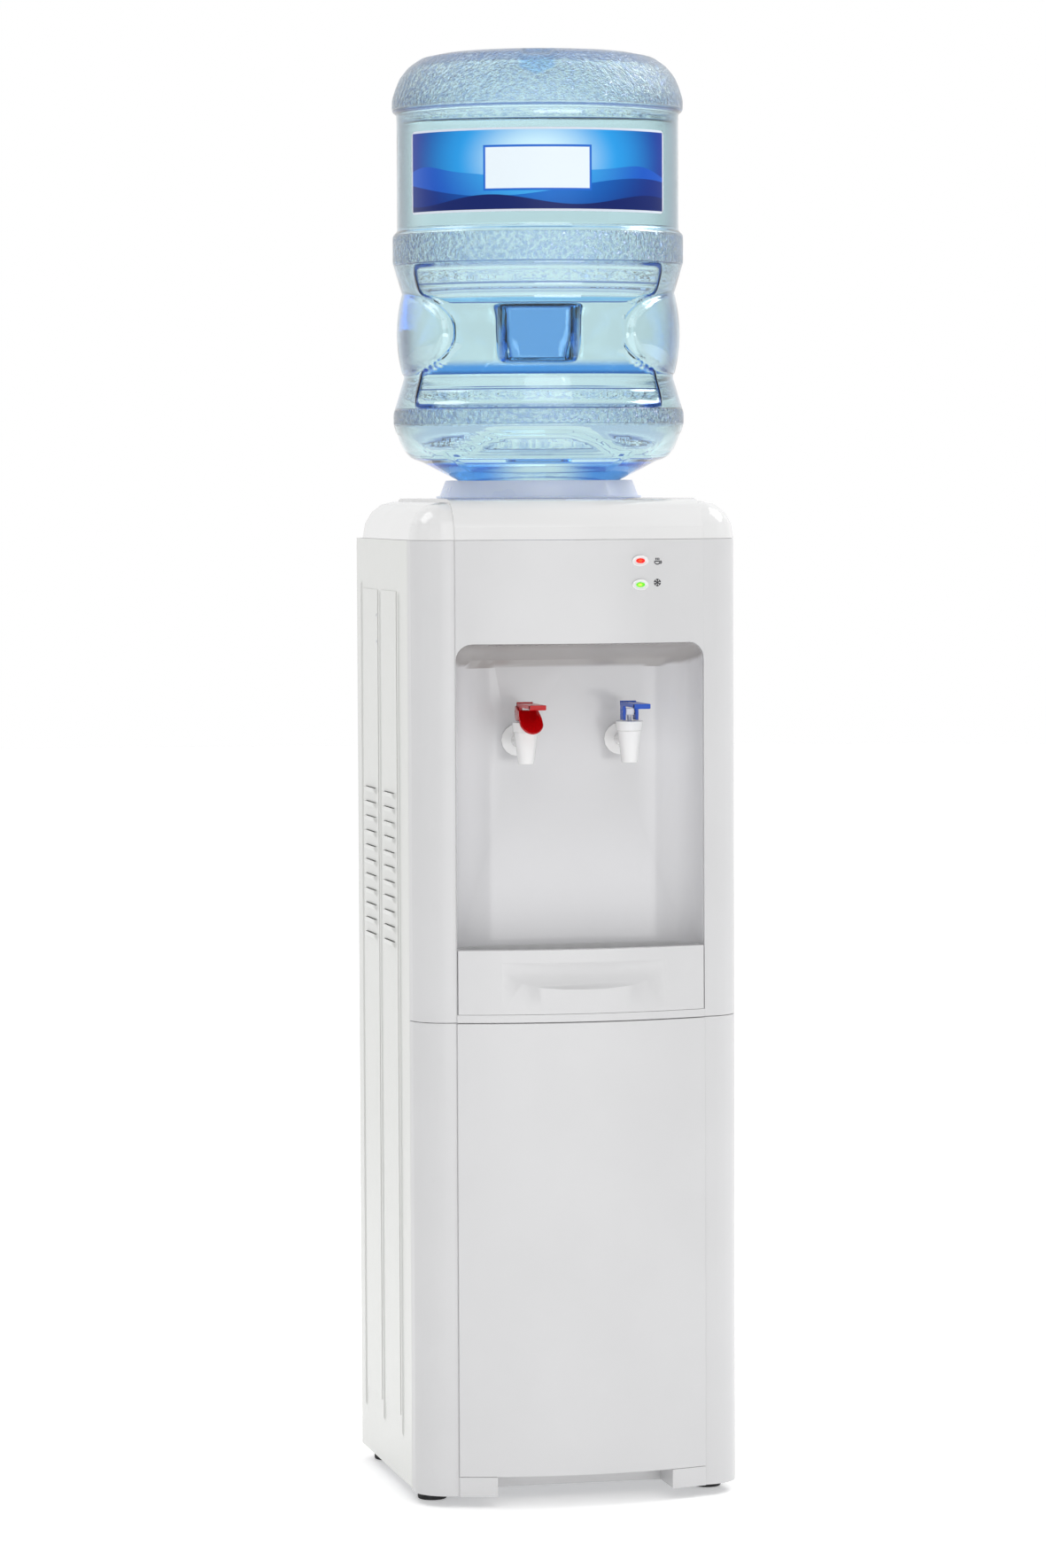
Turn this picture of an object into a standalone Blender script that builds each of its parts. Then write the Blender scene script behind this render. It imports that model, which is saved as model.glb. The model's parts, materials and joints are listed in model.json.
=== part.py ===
"""Free-standing water dispenser with a bottle on top: hot and cold taps, drip tray, tanks and
cooling circuit, modelled piece by piece in metres with +Z up.

Every place is measured from the bottle's axis, which the empty dispenser_axis carries. The
floor is z = 0, the front faces -Y, and the origin is the middle of the whole object's box.
"""
import math

import bmesh
import bpy

# General fits
FIT_GAP = 0.0003
RUN_GAP = 0.0008
OVERRUN = 0.002
MERGE = 0.00001
FLAT_ANGLE = math.radians(0.05)

# Cabinet in plan, measured from the bottle's axis
CABINET_WIDTH = 0.310
PILLAR_REACH = 0.166
BOW_RISE = 0.0175
REAR_REACH = 0.114
PILLAR_WIDTH = 0.037
CENTRE_STEP = 0.0025
PILLAR_RADIUS = 0.035
FRONT_WALL = 0.0025
SIDE_WALL = 0.001
TONGUE_LENGTH = 0.010
REAR_FLANGE = 0.012

# Cabinet heights
FOOT_HEIGHT = 0.0139
LEG_CLEARANCE = 0.0105
SIDE_CLEARANCE = 0.0136
LOWER_FRONT_HEIGHT = 0.4405
UPPER_FRONT_HEIGHT = 0.4450
TRAY_STRIP = 0.0074
TRAY_HEIGHT = 0.0596
NICHE_HEIGHT = 0.2824
KICK_HEIGHT = 0.018
LEG_WIDTH = 0.0345
KICK_DEPTH = 0.035
KICK_WALL = 0.002
KICK_LIFT = 0.0003
INSERT_THICKNESS = 0.0025
INSERT_BACKING = 0.003

# Top cover and bottle collar
COVER_HEIGHT = 0.0345
COVER_RAISE = 0.003
COVER_ROUND = 0.030
COVER_FRONT_ROUND = 0.035
COVER_REAR_CORNER = 0.032
COVER_WALL = 0.0025
COVER_EDGE = 0.0005
COLLAR_FLANGE_RADIUS = 0.0976
COLLAR_FOOT_RADIUS = 0.0946
COLLAR_RIM_RADIUS = 0.0889
COLLAR_RIM_WIDTH = 0.0115
COLLAR_HEIGHT = 0.0170
COLLAR_FLANGE = 0.002
COLLAR_WALL = 0.0025
COLLAR_HOLE_RADIUS = 0.0900
SKIRT_RADIUS = 0.0345

# Bottle, upside down, with heights measured up from its mouth
BOTTLE_RADIUS = 0.138
BOTTLE_WALL = 0.0018
LABEL_ZONE_DEPTH = 0.0043
NECK_RADIUS = 0.0265
NECK_LENGTH = 0.050
SHOULDER_SLOPE = 0.5
SHOULDER_RADIUS = 0.112
SHOULDER_ROUND_HEIGHT = 0.035
LOW_BAND_HEIGHT = 0.011
WAIST_LOWER_TAPER = 0.033
WAIST_HEIGHT = 0.075
WAIST_UPPER_TAPER = 0.034
WAIST_DEPTH = 0.0100
MIDDLE_BAND_HEIGHT = 0.021
LABEL_ZONE_HEIGHT = 0.1115
STEP_RISE = 0.0105
CROWN_HEIGHT = 0.0549
CROWN_STRAIGHT = 0.011
DIMPLE_RADIUS = 0.060
DIMPLE_DEPTH = 0.006
BOTTLE_TURN = math.radians(12.9)
MEDALLION_HALF_LENGTH = 0.092
MEDALLION_HALF_HEIGHT = 0.038
MEDALLION_RISE = 0.0066
GRIP_WIDTH = 0.042
GRIP_HEIGHT = 0.050
GRIP_RISE = 0.0075
GRIP_DEPTH = 0.036
GRIP_WALL = 0.003
CAP_WALL = 0.002
CAP_LENGTH = 0.026
CAP_DROP = 0.0015
LABEL_THICKNESS = 0.0004
LABEL_HEIGHT = 0.0774
LABEL_RISE = 0.0119
LABEL_HALF_ANGLE = math.radians(61.5)

# Feed probe in the seat
PROBE_RADIUS = 0.0075
PROBE_BORE = 0.0052
PROBE_HEIGHT = 0.036
PROBE_TAIL = 0.020
PROBE_FLANGE_RADIUS = 0.029
PROBE_FLANGE = 0.0025

# Dispensing niche
NICHE_BACK = 0.1175
NICHE_CORNER = 0.048
NICHE_TOP_RADIUS = 0.015
NICHE_COVE = 0.024
NICHE_WALL = 0.002

# Drip tray and grille
TRAY_WALL = 0.003
TRAY_LIP = 0.0105
TRAY_FLOOR = 0.0025
GRILLE_LEDGE = 0.003
GRILLE_DROP = 0.0055
GRILLE_THICKNESS = 0.002
SLOT_WIDTH = 0.008
SLOT_MARGIN = 0.028
SLOT_END_MARGIN = 0.00325
SLOT_COUNT = 11
SCOOP_DROP = 0.0115
SCOOP_DEPTH = 0.0075
SCOOP_HEIGHT = 0.026
SCOOP_MARGIN = 0.040

# Taps
TAP_SPACING = 0.0984
TAP_STANDOFF = 0.0395
TAP_CUP_TOP = 0.7275
TAP_CUP_HEIGHT = 0.0385
TAP_SHANK_DROP = 0.0183
BONNET_RADIUS = 0.0127
BONNET_HEIGHT = 0.009
BONNET_TOP = 0.0026
BONNET_ROUND = 0.0006
CUP_RADIUS = 0.0110
CUP_NECK_RADIUS = 0.0098
CUP_FOOT_RADIUS = 0.0074
CUP_BORE = 0.0052
SHANK_RADIUS = 0.0065
SHANK_START = 0.001
THREAD_RADIUS = 0.0082
THREAD_LENGTH = 0.020
TAP_FLANGE_RADIUS = 0.0148
TAP_FLANGE = 0.0045
NUT_ACROSS = 0.026
NUT_THICKNESS = 0.006
STEM_RADIUS = 0.0020
STEM_GAP = 0.0004
STEM_SEAL_RADIUS = 0.0046
STEM_SEAL = 0.004
STEM_DEPTH = 0.020
STEM_HEAD_HALF = 0.0038
STEM_HEAD_DEPTH = 0.006
STEM_SINK = 0.002
PIN_RADIUS = 0.0014
PIN_RISE = 0.0085
YOKE_HALF = 0.0074
YOKE_CHEEK = 0.0028
YOKE_DEPTH = 0.011
YOKE_GAP = 0.0007
LEVER_LENGTH = 0.051
LEVER_BACK = 0.0055
LEVER_HALF_WIDTH = 0.0076
LEVER_THICKNESS = 0.0035
LEVER_RISE = 0.0174
GUARD_HALF_WIDTH = 0.0108
GUARD_THICKNESS = 0.0018
GUARD_EAR = 0.0015
GUARD_EAR_RADIUS = 0.0076
GUARD_START = 0.0095
GUARD_TOP = 0.0100
GUARD_REACH = 0.0285
GUARD_DROP = 0.0105

# Indicator lamps and their board
LAMP_INSET = 0.0643
LAMP_UPPER_DROP = 0.0199
LAMP_PITCH = 0.0221
LAMP_HALF_WIDTH = 0.0044
LAMP_HALF_HEIGHT = 0.0023
LAMP_DEPTH = 0.007
LAMP_PROUD = 0.0006
BEZEL_HALF_WIDTH = 0.0074
BEZEL_HALF_HEIGHT = 0.0047
BEZEL_THICKNESS = 0.0008

# Feet and base
FOOT_RADIUS = 0.014
FOOT_INSET = 0.0225
FOOT_FRONT_INSET = 0.053
FOOT_REAR_INSET = 0.018
BASE_SHEET = 0.0015
BASE_FLANGE = 0.016
BASE_TAPER = 0.002

# Side panel pressings
BEAD_HALF_WIDTH = 0.004
BEAD_RISE = 0.0012
BEAD_PITCH = 0.089
BEAD_CENTRE = 0.001
BEAD_TOP_DROP = 0.040
BEAD_FOOT = 0.040
FIELD_RISE = 0.0007
FIELD_WIDTH = 0.072
FIELD_DROP = 0.048
FIELD_FOOT = 0.060
LOUVRE_COUNT = 11
LOUVRE_PITCH = 0.01395
LOUVRE_TOP_DROP = 0.2377
LOUVRE_LENGTH = 0.056
LOUVRE_SLIT = 0.0026
LOUVRE_RISE = 0.0032
LOUVRE_HOOD = 0.0070

# Rear panel and what it carries
REAR_SHEET = 0.001
REAR_PANEL_MARGIN = 0.005
REAR_PANEL_FOOT = 0.205
SWITCH_WIDTH = 0.015
SWITCH_HEIGHT = 0.021
SWITCH_DEPTH = 0.014
SWITCH_FRAME = 0.003
SWITCH_RIM = 0.0015
SWITCH_WELL = 0.010
SWITCH_PITCH = 0.022
SWITCH_Z = 0.790
ROCKER_THICKNESS = 0.0045
ROCKER_GAP = 0.0007
INLET_WIDTH = 0.030
INLET_HEIGHT = 0.024
INLET_DEPTH = 0.022
INLET_RIM = 0.003
INLET_WALL = 0.003
INLET_RECESS = 0.017
INLET_PIN_LENGTH = 0.010
INLET_PIN_WIDTH = 0.002
INLET_PIN_HEIGHT = 0.004
INLET_PIN_SPREAD = 0.007
INLET_MARGIN = 0.035
INLET_Z = 0.255
DRAIN_MARGIN = 0.032
DRAIN_Z = 0.320
DRAIN_RADIUS = 0.011
DRAIN_CAP = 0.010
DRAIN_STEM_RADIUS = 0.006
DRAIN_STEM = 0.012

# Cold tank, its jacket and the shelf
SHELF_Z = 0.640
SHELF_SHEET = 0.0015
SHELF_FRONT = 0.074
SHELF_FLANGE = 0.012
JACKET_RADIUS = 0.092
JACKET_BORE = 0.0800
JACKET_FLOOR = 0.025
COLD_TANK_RADIUS = 0.070
COLD_TANK_WALL = 0.0008
LID_HEIGHT = 0.0036
LID_LIP = 0.0035
BAFFLE_THICKNESS = 0.002
BAFFLE_HEIGHT = 0.110
FEED_PIPE_RADIUS = 0.005
FEED_PIPE_BORE = 0.0035
COIL_RADIUS = 0.0755
COIL_TUBE = 0.003
COIL_TURNS = 4
COIL_STEPS = 18
COIL_PITCH = 0.030
COIL_START = 0.020

# Hot tank
HOT_RADIUS = 0.042
HOT_HEIGHT = 0.125
HOT_DROP = 0.048
HOT_JACKET_RADIUS = 0.068
HOT_JACKET_BORE = 0.0560
HOT_JACKET_FLOOR = 0.014
HOT_JACKET_LID = 0.018
HEATER_WALL = 0.0030
HEATER_HEIGHT = 0.035
HEATER_RISE = 0.030
THERMOSTAT_RADIUS = 0.008
THERMOSTAT_THICKNESS = 0.007
THERMOSTAT_RISE = 0.090

# Hoses behind the niche
HOSE_RADIUS = 0.0042
HOSE_BEND = 0.010
HOSE_STUB = 0.0085
HOSE_HOLE = 0.0056
COLD_OUTLET_X = 0.036
COLD_OUTLET_Y = 0.020
COLD_HOSE_DIP = 0.0125
HOT_OUTLET_RISE = 0.106

# Compressor and refrigerant lines
COMPRESSOR_RADIUS = 0.060
COMPRESSOR_HEIGHT = 0.140
COMPRESSOR_Y = 0.020
COMPRESSOR_SEAM = 0.004
COMPRESSOR_FOOT_HALF = 0.072
COMPRESSOR_FOOT_SHEET = 0.0025
GROMMET_RADIUS = 0.010
GROMMET_HEIGHT = 0.014
GROMMET_HALF = 0.060
PIPE_RADIUS = 0.003
SUCTION_PORT_X = 0.030
DISCHARGE_PORT_X = 0.035

# Condenser on the back
CONDENSER_STANDOFF = 0.030
CONDENSER_MARGIN = 0.049
CONDENSER_FOOT = 0.110
CONDENSER_PASSES = 9
CONDENSER_PITCH = 0.052
CONDENSER_TUBE = 0.0024
WIRE_HALF = 0.0007
WIRE_SINK = 0.0006
WIRE_COUNT = 6
WIRE_MARGIN = 0.011
BRACKET_WIDTH = 0.014
BRACKET_SHEET = 0.0015
BRACKET_FOOT = 0.014
BRACKET_RISE = 0.012
BRACKET_LENGTH = 0.320
DRIER_RADIUS = 0.0095
DRIER_LENGTH = 0.085
DRIER_NECK = 0.012
CONDENSER_TAIL = 0.020

# Derived places
SEAM_Z = LEG_CLEARANCE + LOWER_FRONT_HEIGHT
TRAY_Z = SEAM_Z + TRAY_STRIP
TRAY_RIM_Z = TRAY_Z + TRAY_HEIGHT
NICHE_TOP_Z = TRAY_RIM_Z + NICHE_HEIGHT
COVER_Z = SEAM_Z + UPPER_FRONT_HEIGHT
COVER_TOP_Z = COVER_Z + COVER_HEIGHT
COLLAR_Z = COVER_TOP_Z + COVER_RAISE
COLLAR_RIM_Z = COLLAR_Z + COLLAR_HEIGHT
BASE_Z = FOOT_HEIGHT + FIT_GAP
HALF_WIDTH = CABINET_WIDTH / 2
INSIDE_HALF = HALF_WIDTH - SIDE_WALL - FIT_GAP
CENTRE_HALF = HALF_WIDTH - PILLAR_WIDTH
BOW_EDGE = PILLAR_REACH + CENTRE_STEP
BOW_REACH = BOW_EDGE + BOW_RISE
BOW_RADIUS = (CENTRE_HALF ** 2 + BOW_RISE ** 2) / (2 * BOW_RISE)
KICK_HALF = CENTRE_HALF - LEG_WIDTH
SCOOP_HALF = CENTRE_HALF - SCOOP_MARGIN
SLOT_PITCH = 2 * (CENTRE_HALF - SLOT_MARGIN) / (SLOT_COUNT - 1)
SLOT_LENGTH = BOW_EDGE - TRAY_LIP - NICHE_BACK - 2 * SLOT_END_MARGIN
LAMP_X = CENTRE_HALF - LAMP_INSET
FOOT_X = HALF_WIDTH - FOOT_INSET
FOOT_FRONT = PILLAR_REACH - FOOT_FRONT_INSET
FOOT_REAR = REAR_REACH - FOOT_REAR_INSET
REAR_PANEL_HALF = HALF_WIDTH - REAR_PANEL_MARGIN
INLET_X = REAR_PANEL_HALF - INLET_MARGIN
DRAIN_X = REAR_PANEL_HALF - DRAIN_MARGIN
CONDENSER_HALF = HALF_WIDTH - CONDENSER_MARGIN
WIRE_SPREAD = 2 * (CONDENSER_HALF - WIRE_MARGIN) / (WIRE_COUNT - 1)
NICHE_HALF = CENTRE_HALF - FIT_GAP
SHOULDER_BORE_Z = COLLAR_RIM_Z + FIT_GAP
BOTTLE_SEAT_RADIUS = COLLAR_RIM_RADIUS - COLLAR_RIM_WIDTH
NECK_TOP_Z = SHOULDER_BORE_Z - (BOTTLE_SEAT_RADIUS - NECK_RADIUS) * SHOULDER_SLOPE
MOUTH_Z = NECK_TOP_Z - NECK_LENGTH
CAP_BOTTOM_Z = MOUTH_Z - CAP_WALL
LID_TOP_Z = CAP_BOTTOM_Z - CAP_DROP - PROBE_FLANGE - FIT_GAP
TANK_FLOOR_Z = SHELF_Z + SHELF_SHEET + FIT_GAP + JACKET_FLOOR + FIT_GAP
TAP_Y = -NICHE_BACK - TAP_STANDOFF
TAP_SHANK_Z = TAP_CUP_TOP - TAP_SHANK_DROP
TAP_X = TAP_SPACING / 2
PIN_Z = TAP_CUP_TOP + PIN_RISE
CONDENSER_Y = REAR_REACH + CONDENSER_STANDOFF
CONDENSER_REACH = CONDENSER_Y + DRIER_RADIUS
LEVER_REACH = LEVER_LENGTH - TAP_Y
AXIS_Y = (LEVER_REACH - CONDENSER_REACH) / 2

# Shares that shape the bottle's crown and shoulder, from the band's edge to the middle
CROWN_SHARES = (
    (1.0, 0.0), (0.976, 0.23), (0.946, 0.46), (0.888, 0.69), (0.804, 0.875), (0.688, 0.955), (0.493, 1.0)
)
SHOULDER_SHARES = ((0.35, 0.085), (0.50, 0.18), (0.69, 0.37), (0.85, 0.65), (0.95, 0.87))

STEPS_FINE = 32
STEPS_COARSE = 24
STEPS_SMALL = 16
ARC_STEPS = 6
COVER_STEPS = 5
COVER_COLUMNS = 8


def clear_scene():
    for obj in list(bpy.data.objects):
        bpy.data.objects.remove(obj, do_unlink=True)


def make_collection(name):
    collection = bpy.data.collections.new(name)
    bpy.context.scene.collection.children.link(collection)
    return collection


def make_material(name, colour, roughness, metallic=0.0, alpha=1.0):
    material = bpy.data.materials.new(name)
    material.use_nodes = True
    shader = material.node_tree.nodes["Principled BSDF"]
    shader.inputs["Base Color"].default_value = (*colour, 1.0)
    shader.inputs["Roughness"].default_value = roughness
    shader.inputs["Metallic"].default_value = metallic
    shader.inputs["Alpha"].default_value = alpha
    return material


clear_scene()
PARTS = make_collection("water_dispenser")
CUTTERS = make_collection("cutters")
AXIS = bpy.data.objects.new("dispenser_axis", None)
AXIS.location = (0, AXIS_Y, 0)
PARTS.objects.link(AXIS)

WHITE_PLASTIC = ((0.82, 0.82, 0.82), 0.32, 0.0)
WHITE_STEEL = ((0.80, 0.80, 0.79), 0.38, 0.0)
TAP_WHITE = ((0.86, 0.86, 0.84), 0.30, 0.0)
COLLAR_TINT = ((0.60, 0.68, 0.86), 0.25, 0.0)
BOTTLE_BLUE = ((0.35, 0.62, 0.80), 0.08, 0.0, 0.35)
LABEL_BLUE = ((0.05, 0.22, 0.62), 0.35, 0.0)
CAP_BLUE = ((0.10, 0.30, 0.70), 0.40, 0.0)
HOT_RED = ((0.62, 0.01, 0.01), 0.28, 0.0)
COLD_BLUE = ((0.02, 0.12, 0.55), 0.28, 0.0)
LAMP_RED = ((0.90, 0.05, 0.03), 0.20, 0.0)
LAMP_GREEN = ((0.25, 0.80, 0.15), 0.20, 0.0)
BLACK_RUBBER = ((0.03, 0.03, 0.03), 0.80, 0.0)
BLACK_PLASTIC = ((0.04, 0.04, 0.04), 0.45, 0.0)
BLACK_ENAMEL = ((0.03, 0.03, 0.03), 0.35, 0.0)
ZINC = ((0.62, 0.63, 0.64), 0.42, 1.0)
STAINLESS = ((0.66, 0.66, 0.66), 0.30, 1.0)
COPPER = ((0.75, 0.38, 0.25), 0.32, 1.0)
FOAM = ((0.90, 0.90, 0.88), 0.90, 0.0)
SILICONE = ((0.80, 0.80, 0.78), 0.60, 0.0)


def add_object(name, mesh, finish, at=(0, 0, 0), parent=None):
    """Links a mesh as a part with its own material, or as a hidden cutter if it has no finish."""
    obj = bpy.data.objects.new(name, mesh)
    obj.location = at
    obj.parent = parent or AXIS
    if finish is None:
        CUTTERS.objects.link(obj)
        obj.hide_render = True
        obj.display_type = "WIRE"
    else:
        PARTS.objects.link(obj)
        mesh.materials.append(make_material(name + "_finish", *finish))
    return obj


def new_mesh(name, bm):
    mesh = bpy.data.meshes.new(name)
    bm.to_mesh(mesh)
    bm.free()
    return mesh


def pivot(name, at, parent=None):
    empty = bpy.data.objects.new(name, None)
    empty.location = at
    empty.parent = parent or AXIS
    PARTS.objects.link(empty)
    return empty


def add_box(bm, low, high):
    """Adds a cube stretched between two corners."""
    made = bmesh.ops.create_cube(bm, size=1)
    for vert in made["verts"]:
        for axis in range(3):
            middle = (low[axis] + high[axis]) / 2
            vert.co[axis] = middle + vert.co[axis] * (high[axis] - low[axis])


def boxes(name, corners, finish=None, at=(0, 0, 0), parent=None):
    bm = bmesh.new()
    for low, high in corners:
        add_box(bm, low, high)
    return add_object(name, new_mesh(name, bm), finish, at, parent)


def curve_to_mesh(name, curve):
    """Turns a filled curve into a closed mesh, with its loose caps welded on."""
    guide = bpy.data.objects.new(name + "_guide", curve)
    bpy.context.scene.collection.objects.link(guide)
    bpy.context.view_layer.update()
    graph = bpy.context.evaluated_depsgraph_get()
    mesh = bpy.data.meshes.new_from_object(guide.evaluated_get(graph))
    bpy.data.objects.remove(guide, do_unlink=True)
    bpy.data.curves.remove(curve)
    bm = bmesh.new()
    bm.from_mesh(mesh)
    bmesh.ops.remove_doubles(bm, verts=bm.verts, dist=MERGE)
    bmesh.ops.dissolve_limit(bm, angle_limit=FLAT_ANGLE, verts=bm.verts, edges=bm.edges)
    bmesh.ops.recalc_face_normals(bm, faces=bm.faces)
    bm.to_mesh(mesh)
    bm.free()
    return mesh


def prism(name, outlines, low, high, finish=None, across="z", at=(0, 0, 0), parent=None):
    """Extrudes flat outlines from low to high: (x, y) across z, (y, z) across x, (x, z) across y."""
    curve = bpy.data.curves.new(name, "CURVE")
    curve.dimensions = "2D"
    curve.fill_mode = "BOTH"
    curve.extrude = (high - low) / 2
    for outline in outlines:
        spline = curve.splines.new("POLY")
        spline.points.add(len(outline) - 1)
        for point, (u, v) in zip(spline.points, outline):
            point.co = (u, v, 0, 1)
        spline.use_cyclic_u = True
    mesh = curve_to_mesh(name, curve)
    middle = (low + high) / 2
    for vert in mesh.vertices:
        u, v, w = vert.co
        if across == "z":
            vert.co = (u, v, w + middle)
        elif across == "x":
            vert.co = (w + middle, u, v)
        else:
            vert.co = (u, middle - w, v)
    return add_object(name, mesh, finish, at, parent)


def turned(name, profile, steps, finish=None, at=(0, 0, 0), closed=True, parent=None, turn=(0, 0, 0)):
    """Turns a profile of (radius, height) pairs, given down its outer side, about the z axis."""
    bm = bmesh.new()
    verts = [bm.verts.new((radius, 0, height)) for radius, height in profile]
    for first, second in zip(verts, verts[1:]):
        bm.edges.new((first, second))
    if closed:
        bm.edges.new((verts[-1], verts[0]))
    obj = add_object(name, new_mesh(name, bm), finish, at, parent)
    obj.rotation_euler = turn
    screw = obj.modifiers.new("turned", "SCREW")
    screw.axis = "Z"
    screw.angle = 2 * math.pi
    screw.steps = steps
    screw.render_steps = steps
    screw.use_merge_vertices = True
    screw.merge_threshold = MERGE
    screw.use_smooth_shade = True
    return obj


def cylinder(name, radius, low, high, steps, finish=None, at=(0, 0, 0), parent=None, turn=(0, 0, 0)):
    profile = [(0, high), (radius, high), (radius, low), (0, low)]
    return turned(name, profile, steps, finish, at, False, parent, turn)


def tube(name, points, radius, finish=None, resolution=1, at=(0, 0, 0), parent=None):
    curve = bpy.data.curves.new(name, "CURVE")
    curve.dimensions = "3D"
    curve.bevel_depth = radius
    curve.bevel_resolution = resolution
    curve.use_fill_caps = True
    spline = curve.splines.new("POLY")
    spline.points.add(len(points) - 1)
    for point, place in zip(spline.points, points):
        point.co = (*place, 1)
    return add_object(name, curve_to_mesh(name, curve), finish, at, parent)


def loft(name, rings, finish=None, caps=True, at=(0, 0, 0), parent=None, wrap=True):
    """Joins rings of equal count with faces; open rows when wrap is off."""
    bm = bmesh.new()
    rows = [[bm.verts.new(point) for point in ring] for ring in rings]
    count = len(rows[0])
    for lower, upper in zip(rows, rows[1:]):
        for k in range(count if wrap else count - 1):
            after = (k + 1) % count
            bm.faces.new((lower[k], lower[after], upper[after], upper[k]))
    if caps:
        bm.faces.new(list(reversed(rows[0])))
        bm.faces.new(rows[-1])
    bmesh.ops.remove_doubles(bm, verts=bm.verts, dist=MERGE)
    bmesh.ops.dissolve_degenerate(bm, edges=bm.edges, dist=MERGE)
    bmesh.ops.recalc_face_normals(bm, faces=bm.faces)
    return add_object(name, new_mesh(name, bm), finish, at, parent)


def combine(obj, operand, operation):
    boolean = obj.modifiers.new(operand.name, "BOOLEAN")
    boolean.operation = operation
    boolean.solver = "EXACT"
    boolean.object = operand


def cut(obj, *operands):
    for operand in operands:
        combine(obj, operand, "DIFFERENCE")


def fuse(obj, *operands):
    for operand in operands:
        combine(obj, operand, "UNION")


def arc(centre, radius_x, radius_y, start, end, steps):
    """Points along an elliptical arc, with the angles in degrees."""
    points = []
    for k in range(steps + 1):
        angle = math.radians(start + (end - start) * k / steps)
        points.append((centre[0] + radius_x * math.cos(angle), centre[1] + radius_y * math.sin(angle)))
    return points


def mirrored(points):
    return [(-x, y) for x, y in reversed(points)]


def bow_y(x, inset=0.0):
    """Front of the bowed centre zone at x, set back by an inset."""
    return BOW_RADIUS - BOW_REACH - math.sqrt((BOW_RADIUS - inset) ** 2 - x ** 2)


def bow_line(half, inset, steps=12):
    across = [-half + 2 * half * k / steps for k in range(steps + 1)]
    return [(x, bow_y(x, inset)) for x in across]


def front_path(inset, centre_inset):
    """Front of the cabinet in plan, from the left side to the right one."""
    centre = (PILLAR_RADIUS - HALF_WIDTH, PILLAR_RADIUS - PILLAR_REACH)
    radius = PILLAR_RADIUS - inset
    pillar = arc(centre, radius, radius, 180, 270, ARC_STEPS)
    edge = (-CENTRE_HALF, inset - PILLAR_REACH)
    left = pillar + [edge]
    return left + bow_line(CENTRE_HALF - FIT_GAP, centre_inset) + mirrored(left)


def front_shell(centre_depth):
    """Plan outline of a front panel with its tongues behind the side panels."""
    side_front = PILLAR_RADIUS - PILLAR_REACH
    tongue_end = side_front + TONGUE_LENGTH
    tongue_outer = INSIDE_HALF
    tongue_inner = HALF_WIDTH - FRONT_WALL
    outer = [(-tongue_outer, tongue_end), (-tongue_outer, side_front)] + front_path(0, 0)
    outer += [(tongue_outer, side_front), (tongue_outer, tongue_end)]
    inner = [(tongue_inner, tongue_end)] + list(reversed(front_path(FRONT_WALL, centre_depth)))
    return outer + inner + [(-tongue_inner, tongue_end)]


def niche_plan(offset, front_y):
    """Plan of the niche's wall, from its left front edge round the back to its right one."""
    half = NICHE_HALF - offset
    back = -NICHE_BACK - offset
    corner = NICHE_CORNER - offset
    left = arc((corner - half, front_y), corner, back - front_y, 180, 90, ARC_STEPS)
    return left + [(0, back)] + mirrored(left)


def build_feet():
    profile = [
        (0, FOOT_HEIGHT),
        (FOOT_RADIUS * 0.8, FOOT_HEIGHT),
        (FOOT_RADIUS, FOOT_HEIGHT * 0.62),
        (FOOT_RADIUS, FOOT_HEIGHT * 0.14),
        (FOOT_RADIUS * 0.93, 0),
        (0, 0),
    ]
    for side, x in (("left", -FOOT_X), ("right", FOOT_X)):
        for end, y in (("front", -FOOT_FRONT), ("rear", FOOT_REAR)):
            turned("foot_%s_%s" % (end, side), profile, STEPS_SMALL, BLACK_RUBBER, (x, y, 0), False)


def base_outline(inset):
    """Plan of the base, behind the front panel and round the kick recess."""
    front_inset = FRONT_WALL + RUN_GAP + inset
    centre = (PILLAR_RADIUS - HALF_WIDTH, PILLAR_RADIUS - PILLAR_REACH)
    radius = PILLAR_RADIUS - front_inset
    side = inset - INSIDE_HALF
    rear = REAR_REACH - SIDE_WALL - FIT_GAP - inset
    tongue = TONGUE_LENGTH + centre[1] + FIT_GAP + inset
    tongue_side = front_inset - HALF_WIDTH
    kick_x = KICK_HALF + KICK_WALL + FIT_GAP + inset
    kick_y = KICK_DEPTH - PILLAR_REACH + KICK_WALL + FIT_GAP + inset
    left = [(side, rear), (side, tongue + BASE_TAPER), (tongue_side, tongue)]
    left += arc(centre, radius, radius, 180, 270, ARC_STEPS)
    left += [(-kick_x, front_inset - PILLAR_REACH), (-kick_x, kick_y)]
    return left + mirrored(left)


def build_base():
    base = prism("base_plate", [base_outline(0)], BASE_Z, BASE_Z + BASE_FLANGE, ZINC)
    floor = BASE_Z + BASE_SHEET
    cut(base, prism("base_hollow", [base_outline(BASE_SHEET)], floor, BASE_Z + BASE_FLANGE + OVERRUN))


def kick_recess():
    """Block behind the bowed front that the toe recess is cut from."""
    low = LEG_CLEARANCE + KICK_LIFT
    roof = LEG_CLEARANCE + KICK_HEIGHT + KICK_WALL
    back = KICK_DEPTH - PILLAR_REACH + KICK_WALL
    outer = KICK_HALF + KICK_WALL
    outline = bow_line(outer, FRONT_WALL + INSERT_BACKING / 2) + [(outer, back), (-outer, back)]
    return prism("kick_recess", [outline], low, roof)


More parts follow.
